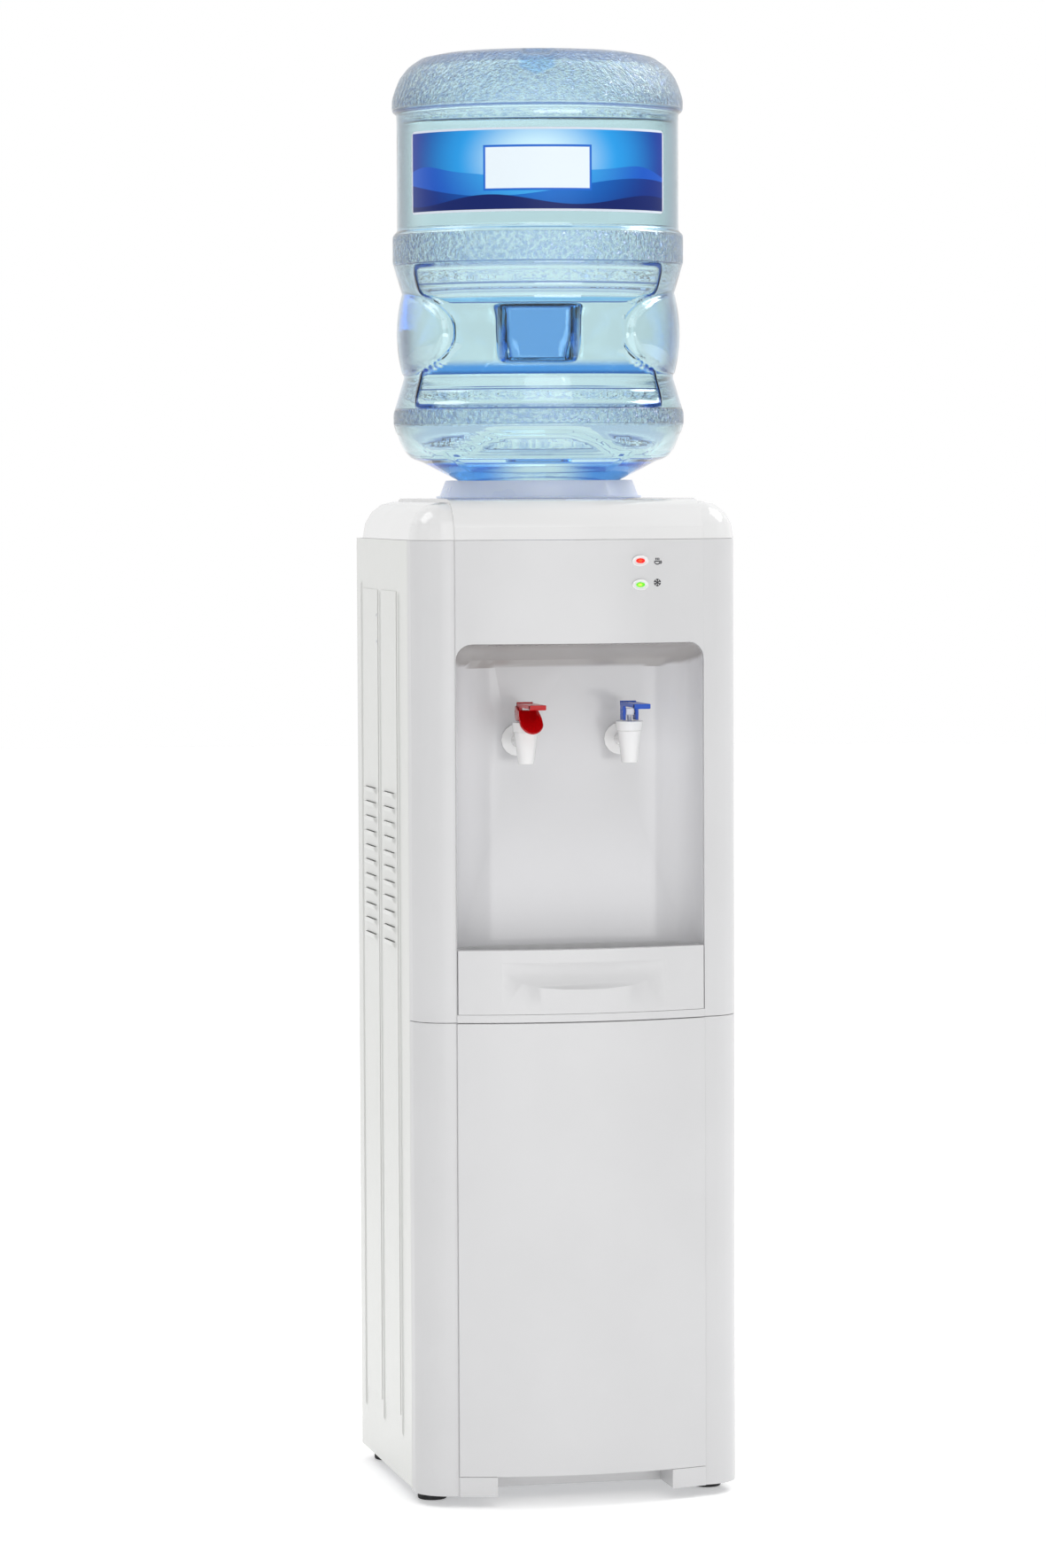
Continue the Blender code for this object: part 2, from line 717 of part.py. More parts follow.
def build_side_panels():
    """Pressed side sheets with raised fields, beads and two columns of louvres."""
    low = SIDE_CLEARANCE
    high = COVER_Z - FIT_GAP
    front = PILLAR_RADIUS - PILLAR_REACH + FIT_GAP
    for side, sign in (("left", -1), ("right", 1)):
        outer = sign * HALF_WIDTH
        inner = sign * (HALF_WIDTH - SIDE_WALL)
        flange = sign * (HALF_WIDTH - REAR_FLANGE)
        outline = [
            (outer, front),
            (outer, REAR_REACH),
            (flange, REAR_REACH),
            (flange, REAR_REACH - SIDE_WALL),
            (inner, REAR_REACH - SIDE_WALL),
            (inner, front),
        ]
        panel = prism("side_panel_" + side, [outline], low, high, WHITE_STEEL)
        fuse(panel, raised_fields(side, sign, low, high), side_beads(side, sign, low, high))
        fuse(panel, louvre_hoods(side, sign, high))
        cut(panel, louvre_slits(side, sign, high))


def raised_fields(side, sign, low, high):
    """Two flat fields, pressed out a little between the beads."""
    face = sign * (HALF_WIDTH - SIDE_WALL / 2)
    rise = sign * (HALF_WIDTH + FIELD_RISE)
    half = FIELD_WIDTH / 2
    corners = []
    for column in (-1, 0):
        middle = louvre_middle(column)
        low_corner = (min(face, rise), middle - half, low + FIELD_FOOT)
        corners.append((low_corner, (max(face, rise), middle + half, high - FIELD_DROP)))
    return boxes("fields_" + side, corners)


def side_beads(side, sign, low, high):
    """Three upright beads, the rear one a little taller."""
    bm = bmesh.new()
    for k in (-1, 0, 1):
        drop = BEAD_TOP_DROP if k == 1 else FIELD_DROP
        add_ridge(bm, sign, BEAD_CENTRE + k * BEAD_PITCH, low + BEAD_FOOT, high - drop)
    return add_object("beads_" + side, new_mesh("beads_" + side, bm), None)


def louvre_hoods(side, sign, high):
    """Two columns of hoods, one under each slit."""
    bm = bmesh.new()
    for column in (-1, 0):
        for row in range(LOUVRE_COUNT):
            add_hood(bm, sign, louvre_middle(column), high - LOUVRE_TOP_DROP - row * LOUVRE_PITCH)
    return add_object("hoods_" + side, new_mesh("hoods_" + side, bm), None)


def louvre_middle(column):
    """Middle of a louvre column, halfway between two beads."""
    return BEAD_CENTRE + (column + 0.5) * BEAD_PITCH


def add_ridge(bm, sign, middle, low, high):
    """A long bead: a box whose outer face is drawn in to a narrow crest."""
    half = BEAD_HALF_WIDTH
    face = sign * (HALF_WIDTH - SIDE_WALL / 2)
    outer = sign * (HALF_WIDTH + BEAD_RISE)
    made = bmesh.ops.create_cube(bm, size=1)
    for vert in made["verts"]:
        outside = vert.co.x * sign > 0
        narrow = 0.45 if outside else 1
        inset = half if outside else 0
        vert.co.x = outer if outside else face
        vert.co.z = high - inset if vert.co.z > 0 else low + inset
        vert.co.y = middle + (half if vert.co.y > 0 else -half) * narrow


def add_hood(bm, sign, middle, top):
    """A louvre's hood: full height at its slit and faired into the sheet below it."""
    face = sign * (HALF_WIDTH - SIDE_WALL / 2)
    outer = sign * (HALF_WIDTH + LOUVRE_RISE)
    half = LOUVRE_LENGTH / 2
    slope = LOUVRE_RISE * 1.4
    made = bmesh.ops.create_cube(bm, size=1)
    for vert in made["verts"]:
        outside = vert.co.x * sign > 0
        upper = vert.co.z > 0
        reach = half - slope if outside else half
        vert.co.y = middle + (reach if vert.co.y > 0 else -reach)
        vert.co.x = outer if outside else face
        rise = slope if outside else 0
        vert.co.z = top if upper else top - LOUVRE_HOOD + rise


def louvre_slits(side, sign, high):
    """The slit over each hood, through the sheet."""
    near = sign * (HALF_WIDTH - SIDE_WALL - OVERRUN)
    far = sign * (HALF_WIDTH + LOUVRE_RISE * 0.62)
    half = LOUVRE_LENGTH / 2 - LOUVRE_RISE * 1.4
    corners = []
    for column in (-1, 0):
        middle = louvre_middle(column)
        for row in range(LOUVRE_COUNT):
            top = high - LOUVRE_TOP_DROP - row * LOUVRE_PITCH
            low_corner = (min(near, far), middle - half, top - LOUVRE_SLIT)
            corners.append((low_corner, (max(near, far), middle + half, top + FIT_GAP)))
    return boxes("louvre_slits_" + side, corners)


def build_lower_front():
    low = LEG_CLEARANCE
    high = SEAM_Z - FIT_GAP
    foot = LEG_CLEARANCE + KICK_HEIGHT
    panel = prism("lower_front_panel", [front_shell(FRONT_WALL + INSERT_BACKING)], low, high, WHITE_PLASTIC)
    half = CENTRE_HALF
    front = -BOW_REACH - OVERRUN
    recess = bow_line(half, INSERT_THICKNESS + FIT_GAP) + [(half, front), (-half, front)]
    cut(panel, prism("insert_recess", [recess], foot, high + OVERRUN))
    fuse(panel, kick_recess())
    kick = ((-KICK_HALF, front, low - OVERRUN), (KICK_HALF, KICK_DEPTH - PILLAR_REACH, foot))
    cut(panel, boxes("kick_gap", [kick]))
    edge = CENTRE_HALF - FIT_GAP
    outline = bow_line(edge, 0) + list(reversed(bow_line(edge, INSERT_THICKNESS)))
    prism("lower_front_insert", [outline], foot + FIT_GAP, high - FIT_GAP, WHITE_PLASTIC)


def niche_aperture():
    """Opening of the niche and tray in elevation, with rounded top corners."""
    half = CENTRE_HALF - FIT_GAP
    radius = NICHE_TOP_RADIUS
    right = [(half, TRAY_Z)] + arc((half - radius, NICHE_TOP_Z - radius), radius, radius, 0, 90, ARC_STEPS)
    return right + mirrored(right)


def build_upper_front():
    low = SEAM_Z + FIT_GAP
    high = COVER_Z - FIT_GAP
    panel = prism("upper_front_panel", [front_shell(FRONT_WALL)], low, high, WHITE_PLASTIC)
    front = -BOW_REACH - OVERRUN
    back = PILLAR_RADIUS - PILLAR_REACH
    cut(panel, prism("niche_aperture", [niche_aperture()], front, back, across="y"))
    rim = [oval(0, 0, BEZEL_HALF_WIDTH, BEZEL_HALF_HEIGHT, 16)]
    hole = [oval(0, 0, LAMP_HALF_WIDTH + FIT_GAP, LAMP_HALF_HEIGHT + FIT_GAP)]
    for row in (0, 1):
        fuse(panel, lamp_spot(row, "bezel_%d" % row, rim, -BEZEL_THICKNESS, FRONT_WALL / 2, None))
        cut(panel, lamp_spot(row, "lamp_hole_%d" % row, hole, -LAMP_DEPTH, LAMP_DEPTH, None))


def lamp_z(row):
    return COVER_Z - LAMP_UPPER_DROP - row * LAMP_PITCH


def oval(x, z, half_width, half_height, steps=12):
    return arc((x, z), half_width, half_height, 0, 360 - 360 / steps, steps - 1)


def build_niche():
    """One moulding: floor under the tray, curved wall and the cove at the top."""
    side_front = FRONT_WALL + RUN_GAP - PILLAR_REACH
    plan = niche_plan(0, side_front)
    last = len(plan) - 1
    floor = TRAY_Z - FIT_GAP

    def row(depth, width, height):
        points = []
        for k, (x, y) in enumerate(plan):
            face = side_front if k in (0, last) else bow_y(x, FRONT_WALL + FIT_GAP)
            points.append((x * width, face + (y - face) * depth, height))
        return points

    rows = [row(0, 1, floor), row(1, 1, floor), row(1, 1, NICHE_TOP_Z - NICHE_COVE)]
    for k in range(1, ARC_STEPS):
        angle = math.radians(90 * k / (ARC_STEPS - 1))
        height = NICHE_TOP_Z - NICHE_COVE * (1 - math.sin(angle))
        over = max(0.0, height - NICHE_TOP_Z + NICHE_TOP_RADIUS)
        half = NICHE_HALF - NICHE_TOP_RADIUS + math.sqrt(max(0.0, NICHE_TOP_RADIUS ** 2 - over ** 2))
        rows.append(row(math.cos(angle), half / NICHE_HALF, height))
    liner = loft("niche_liner", rows, WHITE_PLASTIC, caps=False, wrap=False)
    aim_inwards(liner.data)
    skin = liner.modifiers.new("wall", "SOLIDIFY")
    skin.thickness = NICHE_WALL
    skin.offset = -1
    bore = THREAD_RADIUS + FIT_GAP
    for side, x in (("hot", -TAP_X), ("cold", TAP_X)):
        hole = cylinder("shank_hole_" + side, bore, -NICHE_CORNER / 2, NICHE_CORNER / 2, STEPS_SMALL)
        hole.location = (x, -NICHE_BACK, TAP_SHANK_Z)
        hole.rotation_euler = (math.pi / 2, 0, 0)
        cut(liner, hole)


def aim_inwards(mesh):
    """Turns an open shell's faces towards the niche's space, in front of its back wall."""
    bm = bmesh.new()
    bm.from_mesh(mesh)
    back = min(bm.faces, key=lambda face: abs(face.calc_center_median().x) - face.calc_area())
    if back.normal.y > 0:
        bmesh.ops.reverse_faces(bm, faces=bm.faces)
    bm.to_mesh(mesh)
    bm.free()


def tray_plan(inset, front_inset):
    """Plan of the drip tray, inside the niche and flush with the bowed front."""
    offset = RUN_GAP + inset
    joint = FRONT_WALL + RUN_GAP - PILLAR_REACH
    front = bow_line(NICHE_HALF - offset, front_inset)
    wall = [(x, y) for x, y in niche_plan(offset, joint) if y > bow_y(x, front_inset) + RUN_GAP]
    return wall + list(reversed(front))


def build_tray():
    low = TRAY_Z + FIT_GAP
    rim = TRAY_RIM_Z
    ledge = rim - GRILLE_DROP - GRILLE_THICKNESS - FIT_GAP
    tray = prism("drip_tray", [tray_plan(0, 0)], low, rim, WHITE_PLASTIC)
    cut(tray, prism("tray_rebate", [tray_plan(TRAY_WALL, TRAY_LIP)], ledge, rim + OVERRUN))
    inner = tray_plan(TRAY_WALL + GRILLE_LEDGE, TRAY_LIP + GRILLE_LEDGE)
    cut(tray, prism("tray_hollow", [inner], low + TRAY_FLOOR, ledge + OVERRUN))
    crease = rim - SCOOP_DROP
    deep = SCOOP_DEPTH - BOW_REACH
    front = -BOW_REACH - OVERRUN
    sweep = arc((front, crease), deep - front, -SCOOP_HEIGHT, 0, 90, ARC_STEPS)
    cut(tray, prism("tray_scoop", [[(front, crease)] + sweep], -SCOOP_HALF, SCOOP_HALF, across="x"))
    grille_plan = tray_plan(TRAY_WALL + FIT_GAP, TRAY_LIP + FIT_GAP)
    base = ledge + FIT_GAP
    grille = prism("drip_grille", [grille_plan], base, base + GRILLE_THICKNESS, WHITE_PLASTIC)
    middle = (TRAY_LIP - BOW_EDGE - NICHE_BACK) / 2
    corners = []
    for k in range(SLOT_COUNT):
        x = (k - (SLOT_COUNT - 1) / 2) * SLOT_PITCH
        low_corner = (x - SLOT_WIDTH / 2, middle - SLOT_LENGTH / 2, base - OVERRUN)
        corners.append((low_corner, (x + SLOT_WIDTH / 2, middle + SLOT_LENGTH / 2, rim)))
    cut(grille, boxes("grille_slots", corners))


def rounded_plan(inset):
    """Plan of the cover's side body, with large front corners."""
    half = HALF_WIDTH - inset
    front = inset - PILLAR_REACH
    rear = REAR_REACH - inset
    front_radius = PILLAR_RADIUS - inset
    rear_radius = COVER_REAR_CORNER - inset
    right = arc((half - front_radius, front + front_radius), front_radius, front_radius, -90, 0, COVER_STEPS)
    right += arc((half - rear_radius, rear - rear_radius), rear_radius, rear_radius, 0, 90, COVER_STEPS)
    return right + mirrored(right)


def cover_body(name, inset, floor, finish=None):
    """Side body of the cover: a plan drawn in along a quarter ellipse towards the top."""
    rise = COVER_HEIGHT - inset
    draw = COVER_ROUND - inset
    rings = [[(x, y, floor) for x, y in rounded_plan(inset)]]
    for k in range(COVER_STEPS):
        angle = math.radians(90 * k / (COVER_STEPS - 1))
        plan = rounded_plan(inset + draw * (1 - math.cos(angle)))
        height = COVER_Z + COVER_EDGE + (rise - COVER_EDGE) * math.sin(angle)
        rings.append([(x, y, height) for x, y in plan])
    return loft(name, rings, finish)


def cover_saddle(name, inset, floor):
    """Raised centre zone of the cover, from the bowed front over the top to the back."""
    half = CENTRE_HALF - FIT_GAP - inset
    roof = COVER_HEIGHT + COVER_RAISE - inset
    rear = REAR_REACH - FIT_GAP - inset
    rings = []
    for x, front in bow_line(half, inset, COVER_COLUMNS):
        front_arc = arc((front + COVER_FRONT_ROUND, COVER_Z), COVER_FRONT_ROUND, roof, 180, 90, COVER_STEPS)
        rear_arc = arc((rear - COVER_ROUND, COVER_Z), COVER_ROUND, roof, 90, 0, COVER_STEPS)
        profile = [(front, floor)] + front_arc + rear_arc + [(rear, floor)]
        rings.append([(x, y, z) for y, z in profile])
    return loft(name, rings)


def build_cover():
    cover = cover_body("top_cover", 0, COVER_Z, WHITE_PLASTIC)
    fuse(cover, cover_saddle("cover_centre", 0, COVER_Z))
    cut(cover, cover_body("cover_hollow", COVER_WALL, COVER_Z - OVERRUN))
    cut(cover, cover_saddle("cover_centre_hollow", COVER_WALL, COVER_Z - OVERRUN))
    cut(cover, cylinder("collar_hole", COLLAR_HOLE_RADIUS, COVER_Z, COLLAR_RIM_Z, STEPS_FINE))


def seat_height(radius, gap):
    """Height of the bottle's shoulder cone at a radius, less a gap."""
    return NECK_TOP_Z + (radius - NECK_RADIUS) * SHOULDER_SLOPE - gap


def build_collar():
    """Funnel-shaped seat that holds the bottle's shoulder, with a skirt down to the tank's lid."""
    flange = COLLAR_Z + FIT_GAP
    shank = COLLAR_HOLE_RADIUS - RUN_GAP
    bore = SKIRT_RADIUS - COLLAR_WALL
    seat_edge = COLLAR_RIM_RADIUS - COLLAR_RIM_WIDTH
    clear = 3 * FIT_GAP
    foot = LID_TOP_Z + FIT_GAP
    under = clear + COLLAR_WALL
    profile = [
        (seat_edge, COLLAR_RIM_Z),
        (COLLAR_RIM_RADIUS, COLLAR_RIM_Z),
        (COLLAR_FOOT_RADIUS, flange + COLLAR_FLANGE),
        (COLLAR_FLANGE_RADIUS, flange + COLLAR_FLANGE),
        (COLLAR_FLANGE_RADIUS, flange),
        (shank, flange),
        (shank, COLLAR_Z - COVER_WALL - OVERRUN),
        (shank - COLLAR_WALL, COLLAR_Z - COVER_WALL - OVERRUN),
        (shank - COLLAR_WALL, flange),
        (seat_edge - COLLAR_WALL, seat_height(seat_edge - COLLAR_WALL, under)),
        (SKIRT_RADIUS, seat_height(SKIRT_RADIUS, under)),
        (SKIRT_RADIUS, foot),
        (bore, foot),
        (bore, seat_height(bore, clear)),
        (seat_edge, seat_height(seat_edge, clear)),
    ]
    turned("bottle_collar", profile, STEPS_FINE, COLLAR_TINT)


def bottle_levels():
    """Heights of the bottle's zones above the floor, from the neck up to the crown."""
    levels = {"neck": NECK_TOP_Z}
    levels["cone"] = NECK_TOP_Z + (SHOULDER_RADIUS - NECK_RADIUS) * SHOULDER_SLOPE
    levels["low_band"] = levels["cone"] + SHOULDER_ROUND_HEIGHT
    levels["low_band_top"] = levels["low_band"] + LOW_BAND_HEIGHT
    levels["waist"] = levels["low_band_top"] + WAIST_LOWER_TAPER
    levels["waist_top"] = levels["waist"] + WAIST_HEIGHT
    levels["middle_band"] = levels["waist_top"] + WAIST_UPPER_TAPER
    levels["middle_band_top"] = levels["middle_band"] + MIDDLE_BAND_HEIGHT
    levels["label_top"] = levels["middle_band_top"] + LABEL_ZONE_HEIGHT
    levels["crown"] = levels["label_top"] + STEP_RISE + CROWN_STRAIGHT
    levels["top"] = levels["label_top"] + STEP_RISE + CROWN_HEIGHT
    return levels


def bottle_profile(inset, stride=1):
    """Profile of the bottle from the middle of its base, at the top, down to the mouth.

    A stride of two leaves out every other point of the round parts, for the inner wall.
    """
    at = bottle_levels()
    radius = BOTTLE_RADIUS - inset
    label = BOTTLE_RADIUS - LABEL_ZONE_DEPTH - inset
    waist = BOTTLE_RADIUS - WAIST_DEPTH - inset
    rise = at["top"] - inset - at["crown"]
    points = [(0, at["top"] - DIMPLE_DEPTH - inset), (DIMPLE_RADIUS, at["top"] - DIMPLE_DEPTH / 4 - inset)]
    points += [(radius * share, at["crown"] + rise * height) for share, height in CROWN_SHARES[::-stride]]
    points += [
        (radius, at["label_top"] + STEP_RISE),
        (label, at["label_top"]),
        (label, at["middle_band_top"] + STEP_RISE),
        (radius, at["middle_band_top"]),
        (radius, at["middle_band"]),
        (waist, at["waist_top"]),
        (waist, at["waist"]),
        (radius, at["low_band_top"]),
        (radius, at["low_band"]),
    ]
    cone = SHOULDER_RADIUS - inset
    drop = at["low_band"] - at["cone"]
    for height, share in SHOULDER_SHARES[::-stride]:
        points.append((cone + (radius - cone) * height, at["cone"] + drop * share))
    neck = NECK_RADIUS - inset
    points += [(cone, at["cone"] + inset), (neck, at["neck"] + inset), (neck, MOUTH_Z)]
    return points


def build_bottle():
    """Blow-moulded bottle standing on its neck: bands, waist, side medallions and a back grip."""
    at = bottle_levels()
    profile = bottle_profile(0) + list(reversed(bottle_profile(BOTTLE_WALL, 2)))
    bottle = turned("bottle", profile, STEPS_FINE, BOTTLE_BLUE, closed=False)
    bottle.rotation_euler = (0, 0, -BOTTLE_TURN)
    middle = (at["waist"] + at["waist_top"]) / 2
    for side, sign in (("left", -1), ("right", 1)):
        fuse(bottle, medallion(side, sign, middle))
    middle += GRIP_RISE
    fuse(bottle, grip_block(middle))
    back = BOTTLE_RADIUS + OVERRUN
    half = GRIP_WIDTH / 2
    depth = BOTTLE_RADIUS - WAIST_DEPTH - GRIP_DEPTH
    hollow = ((-half, depth, middle - GRIP_HEIGHT / 2), (half, back, middle + GRIP_HEIGHT / 2))
    opening = boxes("grip_hollow", [hollow])
    opening.rotation_euler = (0, 0, -BOTTLE_TURN)
    cut(bottle, opening)


def medallion(side, sign, middle):
    """Oval plate on the bottle's side: a slice of a barrel cut to an oval."""
    outer = BOTTLE_RADIUS - WAIST_DEPTH + MEDALLION_RISE
    edge = BOTTLE_RADIUS - WAIST_DEPTH + MEDALLION_RISE / 5
    inner = BOTTLE_RADIUS - WAIST_DEPTH - BOTTLE_WALL / 2
    half = MEDALLION_HALF_HEIGHT
    profile = [
        (inner, middle + half),
        (edge, middle + half),
        (outer, middle + half / 3),
        (outer, middle - half / 3),
        (edge, middle - half),
        (inner, middle - half),
    ]
    barrel = turned("medallion_" + side, profile, STEPS_FINE)
    barrel.rotation_euler = (0, 0, -BOTTLE_TURN)
    plan = oval(0, middle, MEDALLION_HALF_LENGTH, MEDALLION_HALF_HEIGHT - RUN_GAP, 16)
    near = 0 if sign > 0 else -BOTTLE_RADIUS - OVERRUN
    shape = prism("medallion_oval_" + side, [plan], near, near + BOTTLE_RADIUS + OVERRUN, across="x")
    shape.rotation_euler = (0, 0, -BOTTLE_TURN)
    combine(barrel, shape, "INTERSECT")
    return barrel


def grip_block(middle):
    """Walls of the pocket at the back, cut to the bottle's own outline."""
    half = GRIP_WIDTH / 2 + GRIP_WALL
    depth = BOTTLE_RADIUS - WAIST_DEPTH - GRIP_DEPTH - GRIP_WALL
    rise = GRIP_HEIGHT / 2 + GRIP_WALL
    block = boxes("grip_walls", [((-half, depth, middle - rise), (half, BOTTLE_RADIUS, middle + rise))])
    block.rotation_euler = (0, 0, -BOTTLE_TURN)
    radius = BOTTLE_RADIUS - WAIST_DEPTH - BOTTLE_WALL / 2
    inside = cylinder("grip_limit", radius, middle - 2 * rise, middle + 2 * rise, STEPS_FINE)
    inside.rotation_euler = (0, 0, -BOTTLE_TURN)
    combine(block, inside, "INTERSECT")
    return block


def build_bottle_trim():
    """Cap on the neck and the label round the front."""
    bore = NECK_RADIUS + FIT_GAP
    hole = PROBE_RADIUS + RUN_GAP
    outer = bore + CAP_WALL
    top = CAP_BOTTOM_Z + CAP_LENGTH
    base = CAP_BOTTOM_Z + CAP_WALL - FIT_GAP
    profile = [
        (bore, top),
        (outer, top),
        (outer, CAP_BOTTOM_Z),
        (hole, CAP_BOTTOM_Z),
        (hole, base),
        (bore, base),
    ]
    turned("bottle_cap", profile, STEPS_COARSE, CAP_BLUE)
    at = bottle_levels()
    low = at["middle_band_top"] + STEP_RISE + LABEL_RISE - FIT_GAP
    inner = BOTTLE_RADIUS - LABEL_ZONE_DEPTH + FIT_GAP
    outer = inner + LABEL_THICKNESS
    half = math.degrees(LABEL_HALF_ANGLE)
    outline = arc((0, 0), outer, outer, -90 - half, -90 + half, STEPS_COARSE)
    outline += arc((0, 0), inner, inner, -90 + half, -90 - half, STEPS_COARSE)
    label = prism("bottle_label", [outline], low, low + LABEL_HEIGHT, LABEL_BLUE)
    label.rotation_euler = (0, 0, -BOTTLE_TURN)


def build_probe():
    """Feed tube that opens the bottle's cap, standing on the tank's lid."""
    foot = LID_TOP_Z + FIT_GAP
    profile = [
        (PROBE_BORE, foot + PROBE_HEIGHT),
        (PROBE_RADIUS * 0.8, foot + PROBE_HEIGHT),
        (PROBE_RADIUS, foot + PROBE_HEIGHT - PROBE_RADIUS),
        (PROBE_RADIUS, foot + PROBE_FLANGE),
        (PROBE_FLANGE_RADIUS, foot + PROBE_FLANGE),
        (PROBE_FLANGE_RADIUS, foot),
        (PROBE_RADIUS, foot),
        (PROBE_RADIUS, foot - PROBE_TAIL),
        (PROBE_BORE, foot - PROBE_TAIL),
    ]
    turned("feed_probe", profile, STEPS_SMALL, SILICONE)


def build_cold_tank():
    outer = COLD_TANK_RADIUS
    inner = outer - COLD_TANK_WALL
    top = LID_TOP_Z - LID_HEIGHT - FIT_GAP
    floor = TANK_FLOOR_Z
    profile = [(0, floor + COLD_TANK_WALL), (inner, floor + COLD_TANK_WALL), (inner, top)]
    profile += [(outer, top), (outer, floor), (0, floor)]
    tank = turned("cold_tank", profile, STEPS_COARSE, STAINLESS, closed=False)
    feed = FEED_PIPE_RADIUS + FIT_GAP
    cut(tank, cylinder("tank_feed_hole", feed, floor - OVERRUN, floor + OVERRUN, STEPS_SMALL))
    hole = PROBE_RADIUS + FIT_GAP
    lip = top - LID_LIP
    lid = [
        (hole, LID_TOP_Z),
        (outer + COLD_TANK_WALL, LID_TOP_Z),
        (outer + COLD_TANK_WALL, LID_TOP_Z - LID_HEIGHT),
        (inner - FIT_GAP, LID_TOP_Z - LID_HEIGHT),
        (inner - FIT_GAP - COLLAR_WALL / 2, lip),
        (inner - 2 * COLLAR_WALL, lip),
        (inner - 2 * COLLAR_WALL, LID_TOP_Z - LID_HEIGHT),
        (hole, LID_TOP_Z - LID_HEIGHT),
    ]
    turned("cold_tank_lid", lid, STEPS_COARSE, SILICONE)
    level = floor + BAFFLE_HEIGHT
    foot = HOT_TOP_Z + FIT_GAP
    baffle = [
        (FEED_PIPE_BORE, level + BAFFLE_THICKNESS),
        (inner - RUN_GAP, level + BAFFLE_THICKNESS),
        (inner - RUN_GAP, level),
        (FEED_PIPE_RADIUS, level),
        (FEED_PIPE_RADIUS, foot),
        (FEED_PIPE_BORE, foot),
    ]
    turned("baffle_with_feed_pipe", baffle, STEPS_COARSE, SILICONE)


def build_jacket():
    """Foam round the cold tank, with room for the cooling coil and holes for the pipes."""
    low = SHELF_Z + SHELF_SHEET + FIT_GAP
    floor = low + JACKET_FLOOR
    top = LID_TOP_Z - LID_HEIGHT - FIT_GAP
    profile = [(0, floor), (JACKET_BORE, floor), (JACKET_BORE, top)]
    profile += [(JACKET_RADIUS, top), (JACKET_RADIUS, low), (0, low)]
    jacket = turned("cold_tank_jacket", profile, STEPS_COARSE, FOAM, closed=False)
    cut(jacket, *pipe_holes("jacket", low - OVERRUN, floor + OVERRUN))


def pipe_holes(name, low, high):
    """Holes for the feed pipe, the cold hose and the coil's end."""
    feed = cylinder(name + "_feed_hole", FEED_PIPE_RADIUS + FIT_GAP, low, high, STEPS_SMALL)
    outlet = (COLD_OUTLET_X, -COLD_OUTLET_Y, 0)
    hose = cylinder(name + "_hose_hole", HOSE_HOLE, low, high, STEPS_SMALL, at=outlet)
    coil = cylinder(name + "_coil_hole", COIL_TUBE + RUN_GAP, low, high, STEPS_SMALL, at=(0, COIL_RADIUS, 0))
    return feed, hose, coil


def build_coil():
    """Cooling coil wound on the cold tank, its tail running down through the jacket."""
    start = TANK_FLOOR_Z + COIL_START
    points = [(0, COIL_RADIUS, SHELF_Z + SHELF_SHEET + FIT_GAP)]
    for k in range(COIL_TURNS * COIL_STEPS + 1):
        angle = math.radians(90 + 360 * k / COIL_STEPS)
        height = start + COIL_PITCH * k / COIL_STEPS
        points.append((COIL_RADIUS * math.cos(angle), COIL_RADIUS * math.sin(angle), height))
    tube("evaporator_coil", points, COIL_TUBE, COPPER, 0)


def build_shelf():
    """Sheet that carries the cold tank between the side panels."""
    rear = REAR_REACH - SIDE_WALL - FIT_GAP
    half = INSIDE_HALF
    shelf = boxes(
        "tank_shelf",
        [((-half, -SHELF_FRONT, SHELF_Z - SHELF_FLANGE), (half, rear, SHELF_Z + SHELF_SHEET))],
        ZINC,
    )
    inner = half - SHELF_SHEET
    corner = (-inner, -SHELF_FRONT - OVERRUN, SHELF_Z - SHELF_FLANGE - OVERRUN)
    under = (corner, (inner, rear - SHELF_SHEET, SHELF_Z))
    cut(shelf, boxes("shelf_under", [under]))
    cut(shelf, *pipe_holes("shelf", SHELF_Z - OVERRUN, SHELF_Z + SHELF_SHEET + OVERRUN))


HOT_TOP_Z = SHELF_Z - FIT_GAP - HOT_DROP


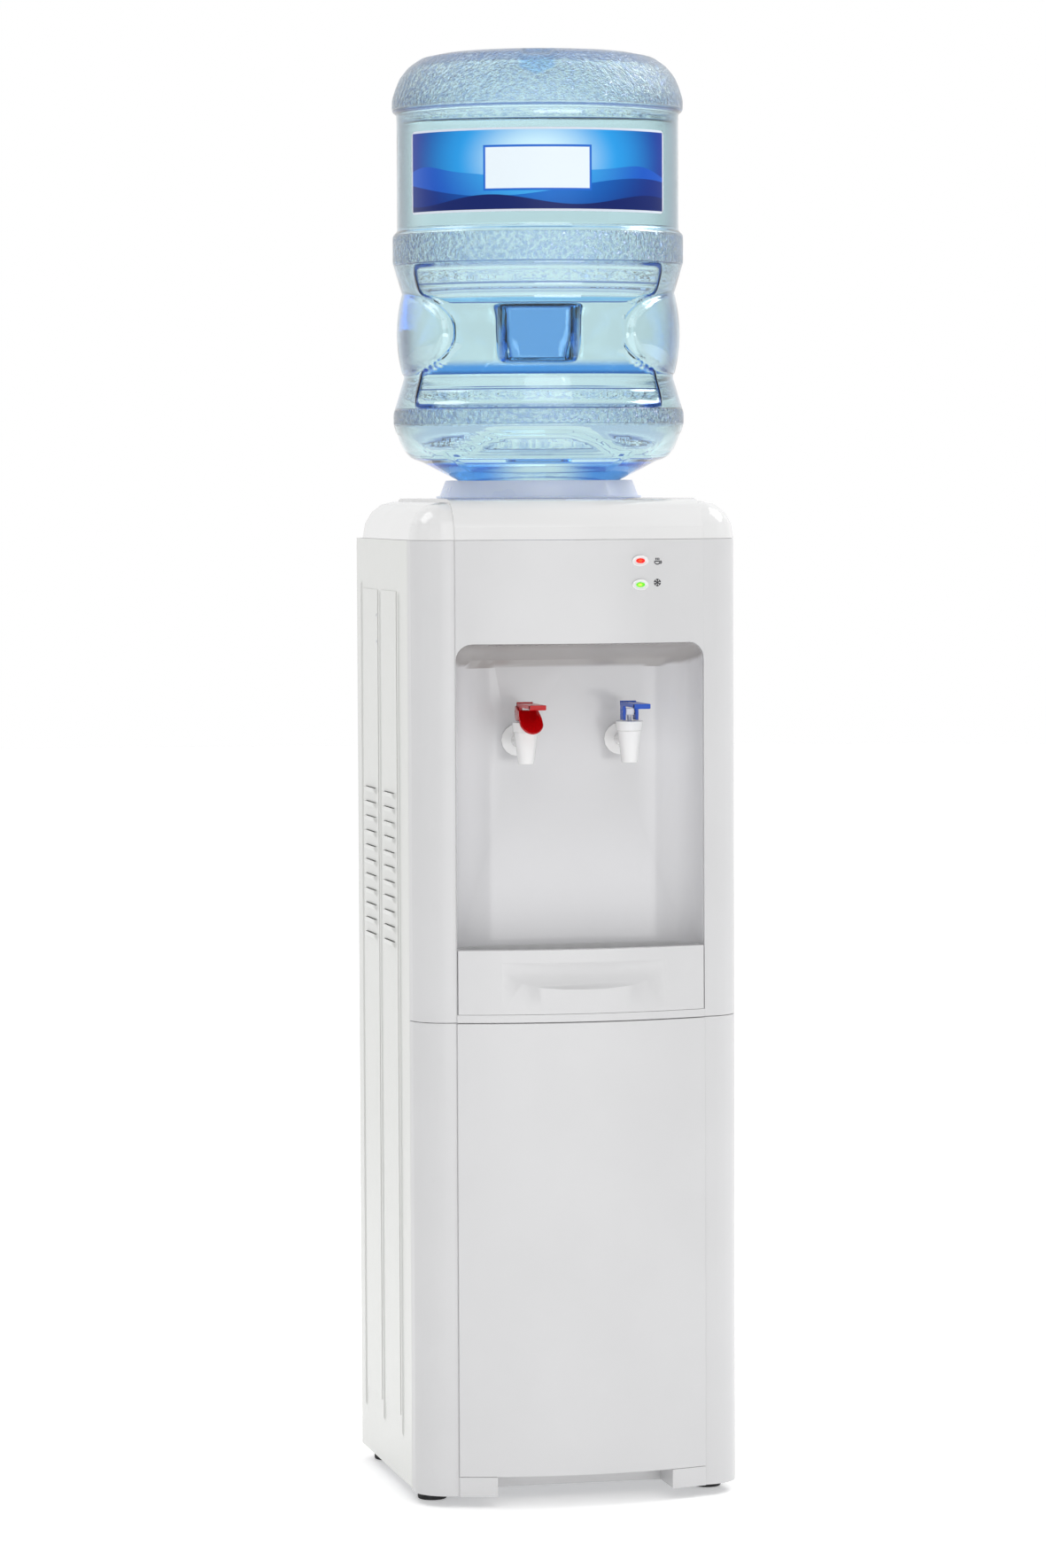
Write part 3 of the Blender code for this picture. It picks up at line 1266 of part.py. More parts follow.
def build_hot_tank():
    """Small heated tank in its own jacket, hung under the shelf."""
    top = HOT_TOP_Z
    low = top - HOT_HEIGHT
    wall = COLD_TANK_WALL
    outer = HOT_RADIUS
    crown = outer * 0.85
    profile = [
        (0, low + wall),
        (outer - wall, low + wall),
        (outer - wall, top - outer + crown - wall),
        (crown - wall, top - wall),
        (FEED_PIPE_RADIUS, top - wall),
        (FEED_PIPE_RADIUS, top),
        (crown, top),
        (outer, top - outer + crown),
        (outer, low),
        (0, low),
    ]
    turned("hot_tank", profile, STEPS_COARSE, STAINLESS, closed=False)
    floor = low - FIT_GAP
    base = floor - HOT_JACKET_FLOOR
    lid = top + FIT_GAP
    jacket_top = lid + HOT_JACKET_LID
    bore = FEED_PIPE_RADIUS + FIT_GAP
    jacket = [
        (0, floor),
        (HOT_JACKET_BORE, floor),
        (HOT_JACKET_BORE, lid),
        (bore, lid),
        (bore, jacket_top),
        (HOT_JACKET_RADIUS, jacket_top),
        (HOT_JACKET_RADIUS, base),
        (0, base),
    ]
    foam = turned("hot_tank_jacket", jacket, STEPS_COARSE, FOAM, closed=False)
    outlet = low + HOT_OUTLET_RISE
    reach = HOT_JACKET_RADIUS + OVERRUN
    hole = cylinder("hot_hose_hole", HOSE_HOLE, HOT_RADIUS + RUN_GAP, reach, STEPS_SMALL)
    hole.location = (0, 0, outlet)
    hole.rotation_euler = (0, math.pi / 2, hot_outlet_angle())
    cut(foam, hole)
    band = [
        (outer + FIT_GAP, low + HEATER_RISE + HEATER_HEIGHT),
        (outer + FIT_GAP + HEATER_WALL, low + HEATER_RISE + HEATER_HEIGHT),
        (outer + FIT_GAP + HEATER_WALL, low + HEATER_RISE),
        (outer + FIT_GAP, low + HEATER_RISE),
    ]
    turned("heater_band", band, STEPS_COARSE, BLACK_ENAMEL)
    disc = cylinder("hot_thermostat", THERMOSTAT_RADIUS, 0, THERMOSTAT_THICKNESS, STEPS_SMALL, BLACK_PLASTIC)
    disc.location = (outer + FIT_GAP, 0, low + THERMOSTAT_RISE)
    disc.rotation_euler = (0, math.pi / 2, 0)


def hot_outlet_angle():
    return math.atan2(hose_drop_y(), -TAP_X)


def hose_start_y():
    """Rear end of a tap's threaded shank, with its gap."""
    return THREAD_LENGTH + FIT_GAP - NICHE_BACK


def hose_drop_y():
    return hose_start_y() + HOSE_STUB


def eased(points, radius, steps=4):
    """Rounds each corner of a route with a short curve."""
    route = [points[0]]
    for before, corner, after in zip(points, points[1:], points[2:]):
        entry = step_towards(corner, before, radius)
        leave = step_towards(corner, after, radius)
        for k in range(steps + 1):
            t = k / steps
            route.append(tuple(
                (1 - t) ** 2 * a + 2 * t * (1 - t) * b + t ** 2 * c for a, b, c in zip(entry, corner, leave)
            ))
    return route + [points[-1]]


def step_towards(start, end, distance):
    length = math.dist(start, end)
    share = min(0.5, distance / length)
    return tuple(a + (b - a) * share for a, b in zip(start, end))


def build_hoses():
    """Silicone hoses from the tanks to the threaded shanks behind the niche."""
    start = hose_start_y()
    drop = hose_drop_y()
    dip = SHELF_Z - COLD_HOSE_DIP
    tube("cold_tap_hose", cold_hose_route(start, drop, dip), HOSE_RADIUS, SILICONE, 1)
    outlet = HOT_TOP_Z - HOT_HEIGHT + HOT_OUTLET_RISE
    angle = hot_outlet_angle()
    reach = HOT_RADIUS + RUN_GAP
    hot = [
        (-TAP_X, start, TAP_SHANK_Z),
        (-TAP_X, drop, TAP_SHANK_Z),
        (-TAP_X, drop, outlet),
        (reach * math.cos(angle), reach * math.sin(angle), outlet),
    ]
    tube("hot_tap_hose", eased(hot, HOSE_BEND), HOSE_RADIUS, SILICONE, 1)


def cold_hose_route(start, drop, dip):
    """Down in front of the shelf, under it beside the hot tank, and up into the cold tank."""
    points = [
        (TAP_X, start, TAP_SHANK_Z),
        (TAP_X, drop, TAP_SHANK_Z),
        (TAP_X, drop, dip),
        (COLD_OUTLET_X, -COLD_OUTLET_Y, dip),
        (COLD_OUTLET_X, -COLD_OUTLET_Y, TANK_FLOOR_Z - FIT_GAP),
    ]
    return eased(points, HOSE_BEND)


def build_compressor():
    """Welded steel shell on its foot plate and four rubber grommets."""
    grommet_low = BASE_Z + BASE_SHEET + FIT_GAP
    plate = grommet_low + GROMMET_HEIGHT + FIT_GAP
    low = plate + COMPRESSOR_FOOT_SHEET / 2
    top = low + COMPRESSOR_HEIGHT
    radius = COMPRESSOR_RADIUS
    belt = low + COMPRESSOR_HEIGHT * 0.55
    profile = [
        (0, top),
        (radius * 0.45, top - radius * 0.05),
        (radius * 0.78, top - radius * 0.22),
        (radius * 0.96, top - radius * 0.55),
        (radius, belt + COMPRESSOR_SEAM),
        (radius + COMPRESSOR_SEAM, belt + COMPRESSOR_SEAM),
        (radius + COMPRESSOR_SEAM, belt),
        (radius, belt),
        (radius * 0.97, low + radius * 0.40),
        (radius * 0.70, low),
        (0, low),
    ]
    shell = turned("compressor", profile, STEPS_COARSE, BLACK_ENAMEL, (0, COMPRESSOR_Y, 0), False)
    half = COMPRESSOR_FOOT_HALF
    foot = ((-half, COMPRESSOR_Y - half, plate), (half, COMPRESSOR_Y + half, plate + COMPRESSOR_FOOT_SHEET))
    fuse(shell, boxes("compressor_foot", [foot]))
    grommet = [
        (0, GROMMET_HEIGHT),
        (GROMMET_RADIUS * 0.8, GROMMET_HEIGHT),
        (GROMMET_RADIUS, 0),
        (0, 0),
    ]
    for side, x in (("left", -GROMMET_HALF), ("right", GROMMET_HALF)):
        for end, y in (("front", COMPRESSOR_Y - GROMMET_HALF), ("rear", COMPRESSOR_Y + GROMMET_HALF)):
            name = "compressor_grommet_%s_%s" % (end, side)
            turned(name, grommet, 12, BLACK_RUBBER, (x, y, grommet_low), False)
    return plate, top


def build_lines(top):
    """Suction line down from the coil to the compressor's shell."""
    shell_side = top - COMPRESSOR_RADIUS * 0.55
    tail = SHELF_Z
    rear_y = REAR_REACH - SIDE_WALL - 4 * PIPE_RADIUS
    port = (SUCTION_PORT_X, COMPRESSOR_Y + COMPRESSOR_RADIUS * 0.93, shell_side - COMPRESSOR_RADIUS * 0.2)
    suction = [
        (0, COIL_RADIUS, tail - FIT_GAP),
        (0, COIL_RADIUS, tail - SHELF_FLANGE),
        (0, rear_y, tail - 2 * SHELF_FLANGE),
        (port[0], rear_y, port[2]),
        port,
    ]
    tube("suction_line", eased(suction, HOSE_BEND), PIPE_RADIUS, COPPER, 1)


def condenser_route():
    """Serpentine behind the back, from its inlet at the top down to the drier."""
    y = CONDENSER_Y
    half = CONDENSER_HALF
    bend = CONDENSER_PITCH / 2
    height = CONDENSER_FOOT + (CONDENSER_PASSES - 1) * CONDENSER_PITCH
    points = []
    for k in range(CONDENSER_PASSES):
        z = height - k * CONDENSER_PITCH
        sign = 1 if k % 2 == 0 else -1
        points.append((-sign * half, y, z))
        points.append((sign * half, y, z))
        for step in range(1, 4):
            angle = math.radians(90 - 45 * step)
            points.append((sign * (half + bend * math.cos(angle)), y, z - bend + bend * math.sin(angle)))
    foot = CONDENSER_FOOT - CONDENSER_PITCH
    points.append((half, y, foot))
    points.append((half - CONDENSER_TAIL, y, foot))
    return points


def build_condenser(plate):
    y = CONDENSER_Y
    route = condenser_route()
    port = (
        -DISCHARGE_PORT_X,
        COMPRESSOR_Y + COMPRESSOR_RADIUS * 0.90,
        plate + COMPRESSOR_HEIGHT * 0.45,
    )
    riser = route[0][0] - CONDENSER_PITCH / 2 - 4 * CONDENSER_TUBE
    inlet = [port, (port[0], y, port[2]), (riser, y, port[2]), (riser, y, route[0][2]), route[0]]
    condenser = tube("condenser", eased(inlet, HOSE_BEND)[:-1] + route, CONDENSER_TUBE, BLACK_ENAMEL, 1)
    low = CONDENSER_FOOT - CONDENSER_PITCH / 4
    high = CONDENSER_FOOT + (CONDENSER_PASSES - 0.75) * CONDENSER_PITCH
    offset = CONDENSER_TUBE - WIRE_SINK + WIRE_HALF
    corners = []
    for side, count in ((-1, WIRE_COUNT), (1, WIRE_COUNT - 1)):
        for k in range(count):
            x = (k - (count - 1) / 2) * WIRE_SPREAD
            middle = y + side * offset
            low_corner = (x - WIRE_HALF, middle - WIRE_HALF, low)
            corners.append((low_corner, (x + WIRE_HALF, middle + WIRE_HALF, high)))
    fuse(condenser, boxes("condenser_wires", corners))
    build_brackets()
    build_drier(route[-1])


def build_brackets():
    """Two sheet strips between the rear panel and the condenser, bent to a Z in plan."""
    face = REAR_REACH + FIT_GAP + REAR_SHEET + FIT_GAP
    reach = CONDENSER_Y - CONDENSER_TUBE - FIT_GAP
    low = REAR_PANEL_FOOT + BRACKET_RISE
    web = WIRE_SPREAD * (WIRE_COUNT - 2) / 2 + BRACKET_WIDTH / 2
    for side, sign in (("left", -1), ("right", 1)):
        outline = [
            (web, face),
            (web + BRACKET_FOOT, face),
            (web + BRACKET_FOOT, face + BRACKET_SHEET),
            (web + BRACKET_SHEET, face + BRACKET_SHEET),
            (web + BRACKET_SHEET, reach),
            (web - BRACKET_WIDTH + BRACKET_SHEET, reach),
            (web - BRACKET_WIDTH + BRACKET_SHEET, reach - BRACKET_SHEET),
            (web, reach - BRACKET_SHEET),
        ]
        placed = [(sign * x, y) for x, y in outline]
        prism("condenser_bracket_" + side, [placed], low, low + BRACKET_LENGTH, ZINC)


def build_drier(end):
    """Filter drier that takes the condenser's lower end."""
    neck = CONDENSER_TUBE * 1.4
    length = DRIER_LENGTH
    profile = [
        (0, length),
        (neck, length),
        (neck, length - DRIER_NECK / 2),
        (DRIER_RADIUS, length - DRIER_NECK),
        (DRIER_RADIUS, DRIER_NECK),
        (neck, DRIER_NECK / 2),
        (neck, 0),
        (0, 0),
    ]
    drier = turned("filter_drier", profile, STEPS_SMALL, COPPER, closed=False)
    drier.location = (end[0] - FIT_GAP, end[1], end[2])
    drier.rotation_euler = (0, -math.pi / 2, 0)


def build_rear_panel():
    low = REAR_PANEL_FOOT
    high = COVER_Z - FIT_GAP
    near = REAR_REACH + FIT_GAP
    far = near + REAR_SHEET
    panel = boxes("rear_panel", [((-REAR_PANEL_HALF, near, low), (REAR_PANEL_HALF, far, high))], WHITE_STEEL)
    switch = hole_box(0, SWITCH_Z, SWITCH_PITCH + SWITCH_WIDTH, SWITCH_HEIGHT, SWITCH_FRAME / 2)
    holes = [switch, hole_box(INLET_X, INLET_Z, INLET_WIDTH, INLET_HEIGHT, 0)]
    cut(panel, boxes("rear_holes", holes))
    drain = cylinder("drain_hole", DRAIN_STEM_RADIUS + FIT_GAP, -DRAIN_STEM, DRAIN_STEM, STEPS_SMALL)
    drain.location = (DRAIN_X, near, DRAIN_Z)
    drain.rotation_euler = (math.pi / 2, 0, 0)
    cut(panel, drain)
    return far


def hole_box(x, z, width, height, margin):
    """A cutter through the rear panel for a fitting of this size."""
    half_width = width / 2 + margin + FIT_GAP
    half_height = height / 2 + margin + FIT_GAP
    return (
        (x - half_width, REAR_REACH - OVERRUN, z - half_height),
        (x + half_width, REAR_REACH + OVERRUN + REAR_SHEET, z + half_height),
    )


def build_switches(face):
    """Double rocker switch, for heating and cooling: one housing with a well for each rocker."""
    half_w = SWITCH_PITCH / 2 + SWITCH_WIDTH / 2 + SWITCH_FRAME / 2
    half_h = SWITCH_HEIGHT / 2 + SWITCH_FRAME / 2
    front = face + SWITCH_RIM
    body = ((-half_w, face - SWITCH_DEPTH, SWITCH_Z - half_h), (half_w, front, SWITCH_Z + half_h))
    rim_w = half_w + SWITCH_FRAME
    rim_h = half_h + SWITCH_FRAME
    rim = ((-rim_w, face + FIT_GAP, SWITCH_Z - rim_h), (rim_w, front, SWITCH_Z + rim_h))
    housing = boxes("switch_housing", [body], BLACK_PLASTIC)
    fuse(housing, boxes("switch_rim", [rim]))
    wells = []
    for sign in (-1, 1):
        x = sign * SWITCH_PITCH / 2
        low = (x - SWITCH_WIDTH / 2, face - SWITCH_WELL, SWITCH_Z - SWITCH_HEIGHT / 2)
        wells.append((low, (x + SWITCH_WIDTH / 2, front + OVERRUN, SWITCH_Z + SWITCH_HEIGHT / 2)))
    cut(housing, boxes("switch_wells", wells))
    for name, sign, finish in (("heater_switch", -1, HOT_RED), ("cooler_switch", 1, COLD_BLUE)):
        rocker(name, sign * SWITCH_PITCH / 2, front, finish)


def rocker(name, x, face, finish):
    """A rocker that tips about a pin across its middle: a shallow V on a round hub."""
    half = SWITCH_HEIGHT / 2 - ROCKER_GAP
    thick = ROCKER_THICKNESS
    hub = thick * 0.55
    dip = thick * 0.30
    outline = [(thick * 0.75, half), (dip, 0), (dip, -half), (-thick * 0.35, -half), (-thick * 0.35, -hub)]
    outline += arc((-thick * 0.35, 0), hub, hub, 270, 90, ARC_STEPS)[1:-1]
    outline += [(-thick * 0.35, hub), (-thick * 0.10, half)]
    width = SWITCH_WIDTH / 2 - ROCKER_GAP
    prism(name, [outline], -width, width, finish, across="x", at=(x, face - thick * 0.20, SWITCH_Z))


def build_inlet(face):
    """Mains inlet socket in the back, with its three pins."""
    place = (INLET_X, 0, INLET_Z)
    half_w = INLET_WIDTH / 2
    half_h = INLET_HEIGHT / 2
    mouth = face + INLET_RIM
    body = ((-half_w, face - INLET_DEPTH, -half_h), (half_w, mouth, half_h))
    rim_w = half_w + INLET_RIM
    rim_h = half_h + INLET_RIM
    rim = ((-rim_w, face + FIT_GAP, -rim_h), (rim_w, mouth, rim_h))
    inlet = boxes("power_inlet", [body], BLACK_PLASTIC, at=place)
    fuse(inlet, boxes("inlet_rim", [rim], at=place))
    in_w = half_w - INLET_WALL
    in_h = half_h - INLET_WALL
    bottom = mouth - INLET_RECESS
    hollow = ((-in_w, bottom, -in_h), (in_w, mouth + OVERRUN, in_h))
    cut(inlet, boxes("inlet_hollow", [hollow], at=place))
    pins = []
    half = INLET_PIN_WIDTH / 2
    rise = INLET_PIN_HEIGHT / 2
    for x, z in ((-INLET_PIN_SPREAD, -rise), (0, rise), (INLET_PIN_SPREAD, -rise)):
        low = (x - half, bottom - half, z - rise)
        pins.append((low, (x + half, bottom + INLET_PIN_LENGTH, z + rise)))
    fuse(inlet, boxes("inlet_pins", pins, at=place))


def build_drain(face):
    """Screwed plug that empties the tanks, at the back."""
    seat = FIT_GAP
    profile = [
        (0, DRAIN_CAP),
        (DRAIN_RADIUS * 0.85, DRAIN_CAP),
        (DRAIN_RADIUS, DRAIN_CAP * 0.8),
        (DRAIN_RADIUS, seat),
        (DRAIN_STEM_RADIUS, seat),
        (DRAIN_STEM_RADIUS, -DRAIN_STEM),
        (0, -DRAIN_STEM),
    ]
    plug = turned("drain_plug", profile, STEPS_SMALL, BLACK_PLASTIC, closed=False)
    plug.location = (DRAIN_X, face, DRAIN_Z)
    plug.rotation_euler = (-math.pi / 2, 0, 0)


def lamp_spot(row, name, outlines, low, high, finish):
    """Extrudes outlines square to the bowed front, at a lamp's place on it."""
    place = (LAMP_X, bow_y(LAMP_X), lamp_z(row))
    piece = prism(name, outlines, low, high, finish, across="y", at=place)
    piece.rotation_euler = (0, 0, math.asin(LAMP_X / BOW_RADIUS))
    return piece


def build_lamps():
    """Red and green lamp lenses in the front panel's two oval bezels."""
    lens = [oval(0, 0, LAMP_HALF_WIDTH, LAMP_HALF_HEIGHT)]
    tip = -BEZEL_THICKNESS - LAMP_PROUD
    for row, name, finish in ((0, "indicator_lamp_hot", LAMP_RED), (1, "indicator_lamp_cold", LAMP_GREEN)):
        lamp_spot(row, name, lens, tip, tip + LAMP_DEPTH, finish)


def build_tap(side, x, finish):
    """Tap with a cup-shaped spout: body, screwed bonnet, stem with its pin, and lever."""
    place = (x, TAP_Y, TAP_CUP_TOP)
    neck_top = -BONNET_TOP - FIT_GAP
    shoulder = -BONNET_HEIGHT - FIT_GAP
    body = [
        (CUP_BORE, neck_top),
        (CUP_NECK_RADIUS, neck_top),
        (CUP_NECK_RADIUS, shoulder),
        (CUP_RADIUS, shoulder),
        (CUP_FOOT_RADIUS, -TAP_CUP_HEIGHT),
        (CUP_BORE, -TAP_CUP_HEIGHT),
    ]
    cup = turned("tap_body_" + side, body, STEPS_COARSE, TAP_WHITE, place)
    wall = TAP_STANDOFF - FIT_GAP
    shank = [
        (0, -CUP_BORE - SHANK_START),
        (SHANK_RADIUS, -CUP_BORE - SHANK_START),
        (SHANK_RADIUS, TAP_FLANGE - wall),
        (TAP_FLANGE_RADIUS * 0.72, TAP_FLANGE * 0.75 - wall),
        (TAP_FLANGE_RADIUS, TAP_FLANGE * 0.25 - wall),
        (TAP_FLANGE_RADIUS, -wall),
        (THREAD_RADIUS, -wall),
        (THREAD_RADIUS, -TAP_STANDOFF - THREAD_LENGTH),
        (0, -TAP_STANDOFF - THREAD_LENGTH),
    ]
    arm = turned("tap_shank_" + side, shank, STEPS_SMALL, None, (x, TAP_Y, TAP_SHANK_Z), False)
    arm.rotation_euler = (math.pi / 2, 0, 0)
    fuse(cup, arm)
    bonnet = [
        (STEM_RADIUS + STEM_GAP, 0),
        (BONNET_RADIUS - BONNET_ROUND, 0),
        (BONNET_RADIUS, -BONNET_ROUND),
        (BONNET_RADIUS - BONNET_ROUND, -BONNET_HEIGHT),
        (CUP_NECK_RADIUS + FIT_GAP, -BONNET_HEIGHT),
        (CUP_NECK_RADIUS + FIT_GAP, -BONNET_TOP),
        (STEM_RADIUS + STEM_GAP, -BONNET_TOP),
    ]
    turned("tap_bonnet_" + side, bonnet, STEPS_COARSE, TAP_WHITE, place)
    build_stem(side, x, place)
    build_lever(side, x, finish)


def build_stem(side, x, place):
    """Stem with its seal in the cup and a head block that carries the lever's pin."""
    seal_low = -STEM_DEPTH - STEM_SEAL
    head_low = PIN_RISE - STEM_HEAD_DEPTH / 2
    profile = [
        (0, head_low + STEM_SINK),
        (STEM_RADIUS, head_low + STEM_SINK),
        (STEM_RADIUS, -STEM_DEPTH),
        (STEM_SEAL_RADIUS, -STEM_DEPTH),
        (STEM_SEAL_RADIUS * 0.8, seal_low),
        (0, seal_low),
    ]
    stem = turned("tap_stem_" + side, profile, STEPS_SMALL, TAP_WHITE, place, False)
    half = STEM_HEAD_HALF
    deep = STEM_HEAD_DEPTH / 2
    head = ((-half, -deep, head_low), (half, deep, PIN_RISE + deep))
    fuse(stem, boxes("stem_head_" + side, [head], at=place))
    reach = YOKE_HALF - FIT_GAP
    if side == "hot":
        reach = YOKE_HALF + FIT_GAP + GUARD_EAR
    pin = cylinder("lever_pin_" + side, PIN_RADIUS, -reach, reach, 10, at=(x, TAP_Y, PIN_Z))
    pin.rotation_euler = (0, math.pi / 2, 0)
    fuse(stem, pin)


def build_lever(side, x, finish):
    """Lever plate over a two-cheeked yoke, turning on the stem's pin."""
    hinge = pivot("lever_pivot_" + side, (x, TAP_Y, PIN_Z))
    top = LEVER_RISE - PIN_RISE
    under = top - LEVER_THICKNESS
    deep = YOKE_DEPTH / 2
    low = YOKE_GAP - PIN_RISE
    plate = ((-LEVER_HALF_WIDTH, -LEVER_LENGTH, under), (LEVER_HALF_WIDTH, LEVER_BACK, top))
    lever = boxes("tap_lever_" + side, [plate], finish, parent=hinge)
    cheeks = []
    for sign in (-1, 1):
        near = sign * (YOKE_HALF - YOKE_CHEEK)
        far = sign * YOKE_HALF
        cheeks.append(((min(near, far), -deep, low), (max(near, far), deep, under + LEVER_THICKNESS / 2)))
    fuse(lever, boxes("yoke_" + side, cheeks, parent=hinge))
    reach = YOKE_HALF + OVERRUN
    bore = cylinder("pin_bore_" + side, PIN_RADIUS + FIT_GAP, -reach, reach, 10, parent=hinge)
    bore.rotation_euler = (0, math.pi / 2, 0)
    cut(lever, bore)


def build_guard():
    """Translucent tongue that hangs in front of the hot cup from ears on the lever's pin."""
    hinge = pivot("guard_pivot", (-TAP_X, TAP_Y, PIN_Z))
    start = (-GUARD_START, GUARD_TOP - PIN_RISE)
    end = (-GUARD_REACH, -GUARD_DROP - PIN_RISE)
    length = math.dist(start, end)
    lean = math.atan2(start[0] - end[0], start[1] - end[1])
    half = GUARD_HALF_WIDTH
    blade = [(-half, 0)] + arc((0, half - length), half, half, 180, 360, 2 * ARC_STEPS) + [(half, 0)]
    tongue = prism("hot_lever_guard", [blade], 0, GUARD_THICKNESS, HOT_RED, across="y", parent=hinge)
    for vert in tongue.data.vertices:
        y, z = vert.co[1:]
        back = y - GUARD_THICKNESS
        vert.co.y = start[0] + back * math.cos(lean) + z * math.sin(lean)
        vert.co.z = start[1] - back * math.sin(lean) + z * math.cos(lean)
    ears = []
    for sign in (-1, 1):
        near = sign * (YOKE_HALF + FIT_GAP)
        far = near + sign * GUARD_EAR
        outline = arc((0, 0), GUARD_EAR_RADIUS, GUARD_EAR_RADIUS, 60, -80, ARC_STEPS)
        for along in (length * 0.36, length * 0.06):
            y = start[0] - along * math.sin(lean) - GUARD_THICKNESS / 2 * math.cos(lean)
            outline.append((y, start[1] - along * math.cos(lean) + GUARD_THICKNESS / 2 * math.sin(lean)))
        name = "guard_ear_%d" % (sign + 1)
        ears.append(prism(name, [outline], min(near, far), max(near, far), across="x", parent=hinge))
    fuse(tongue, *ears)
    reach = YOKE_HALF + GUARD_EAR + OVERRUN
    bore = cylinder("guard_bore", PIN_RADIUS + FIT_GAP, -reach, reach, 10, parent=hinge)
    bore.rotation_euler = (0, math.pi / 2, 0)
    cut(tongue, bore)


def build_tap_nuts():
    """Nuts on the threaded shanks, behind the niche."""
    near = NICHE_WALL + FIT_GAP - NICHE_BACK
    radius = NUT_ACROSS / 2 / math.cos(math.radians(30))
    bore = THREAD_RADIUS + 2 * FIT_GAP
    for side, x in (("hot", -TAP_X), ("cold", TAP_X)):
        outlines = [arc((x, TAP_SHANK_Z), radius, radius, 0, 300, 5), oval(x, TAP_SHANK_Z, bore, bore, 16)]
        prism("tap_nut_" + side, outlines, near, near + NUT_THICKNESS, TAP_WHITE, across="y")


build_feet()
build_base()
build_side_panels()
build_lower_front()
build_upper_front()
build_niche()
build_tray()
build_cover()
build_collar()
build_bottle()
build_bottle_trim()
build_probe()
build_cold_tank()
build_jacket()
build_coil()
build_shelf()
build_hot_tank()
build_hoses()
PLATE_Z, SHELL_TOP_Z = build_compressor()
build_lines(SHELL_TOP_Z)
build_condenser(PLATE_Z)
REAR_FACE = build_rear_panel()
build_switches(REAR_FACE)
build_inlet(REAR_FACE)
build_drain(REAR_FACE)
build_lamps()
build_tap("hot", -TAP_X, HOT_RED)
build_tap("cold", TAP_X, COLD_BLUE)
build_guard()
build_tap_nuts()
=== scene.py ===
"""Looks of a water dispenser with an upturned bottle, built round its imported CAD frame."""

import json
import math
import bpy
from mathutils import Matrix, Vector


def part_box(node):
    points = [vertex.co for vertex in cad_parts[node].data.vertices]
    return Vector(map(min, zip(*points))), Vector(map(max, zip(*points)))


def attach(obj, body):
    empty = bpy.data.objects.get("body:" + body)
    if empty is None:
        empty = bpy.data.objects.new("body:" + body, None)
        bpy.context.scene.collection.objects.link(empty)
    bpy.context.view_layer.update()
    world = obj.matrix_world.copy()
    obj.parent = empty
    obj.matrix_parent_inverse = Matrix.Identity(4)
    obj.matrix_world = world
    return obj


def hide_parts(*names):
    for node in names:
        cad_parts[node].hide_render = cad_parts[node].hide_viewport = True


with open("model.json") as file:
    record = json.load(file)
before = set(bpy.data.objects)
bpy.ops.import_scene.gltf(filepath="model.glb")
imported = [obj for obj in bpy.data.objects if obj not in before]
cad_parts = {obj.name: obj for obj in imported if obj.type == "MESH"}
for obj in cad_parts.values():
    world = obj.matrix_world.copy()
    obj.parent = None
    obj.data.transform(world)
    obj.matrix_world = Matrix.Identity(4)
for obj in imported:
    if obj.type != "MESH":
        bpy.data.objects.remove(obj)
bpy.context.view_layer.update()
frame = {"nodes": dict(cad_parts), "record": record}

from fnmatch import fnmatch

import bmesh
import bpy
import numpy as np
from mathutils import Matrix, Vector

NODES = frame["nodes"]
BODIES = frame["record"]["behaviour"]["bodies"]
BODY_OF = {node: body for body, nodes in BODIES.items() for node in nodes}
AXIS_Y = (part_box("bottle_cap")[0].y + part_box("bottle_cap")[1].y) / 2

# Lengths are in metres and heights are above the floor, unless a comment says otherwise.

# Camera: its lens in mm on a 36 mm sensor, its place, and its yaw, pitch and roll in radians
LENS = 123.42
CAMERA_PLACE = (-1.1421, AXIS_Y - 4.9967, 0.9549)
CAMERA_TURN = (0.2215, -0.0573, -0.0046)

# Softboxes: place, what they point at, width and height, and power in watts
SOFTBOXES = {
    "key_softbox": ((-0.20, -2.65, 2.65), (0, 0, 0.88), (2.0, 2.0), 15),
    "left_softbox": ((-1.7, 0.4, 2.8), (0, 0, 0.8), (1.2, 1.2), 13),
    "right_softbox": ((1.9, 0.3, 2.6), (0, 0, 0.9), (1.2, 1.2), 32),
    "low_softbox": ((0.3, -4.4, 0.55), (0, 0, 0.6), (3.2, 0.9), 30),
}
FLOOR_RADIUS = 14.0

# Bottle: its turn about the seat, its wall and filling, its radii, and the heights of its forms
BOTTLE_TURN = math.radians(-12.9)
BOTTLE_WALL = 0.0018
WATER_GAP = 0.0004
WATER_DROP = 0.014
BOTTLE_RADIUS = 0.1379
LABEL_RADIUS = 0.1336
WAIST_RADIUS = 0.1279
SHOULDER_RADIUS = 0.112
NECK_RADIUS = 0.0265
MOUTH_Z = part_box("bottle")[0].z
NECK_Z = 0.92535
SHOULDER_Z = 0.9681
TOP_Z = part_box("bottle")[1].z
CROWN_SIDE, CROWN_FOOT = 1.3101, 1.2990
LABEL_FIELD = (1.1862, 1.2958)
HIGH_BAND = (1.1561, 1.1822)
WAIST = (1.0471, 1.1221)
LOW_BAND = (1.0031, 1.0141)
CREASES = (1.0355, 1.1342)
# The dimple in its base and the crown round that, as radii and drops below the top
DIMPLE = ((0.0, 0.006), (0.050, 0.0052), (0.060, 0.0010))
CROWN = ((0.068, 0.0), (0.0949, 0.0020), (0.111, 0.0055), (0.1225, 0.0137), (0.1305, 0.0237),
         (0.1347, 0.0338))
# Its rounded shoulder, as losses of radius and heights
SHOULDER = ((0.0013, 0.9985), (0.0039, 0.9908), (0.0081, 0.9811), (0.0130, 0.9744),
            (0.0170, 0.9711))

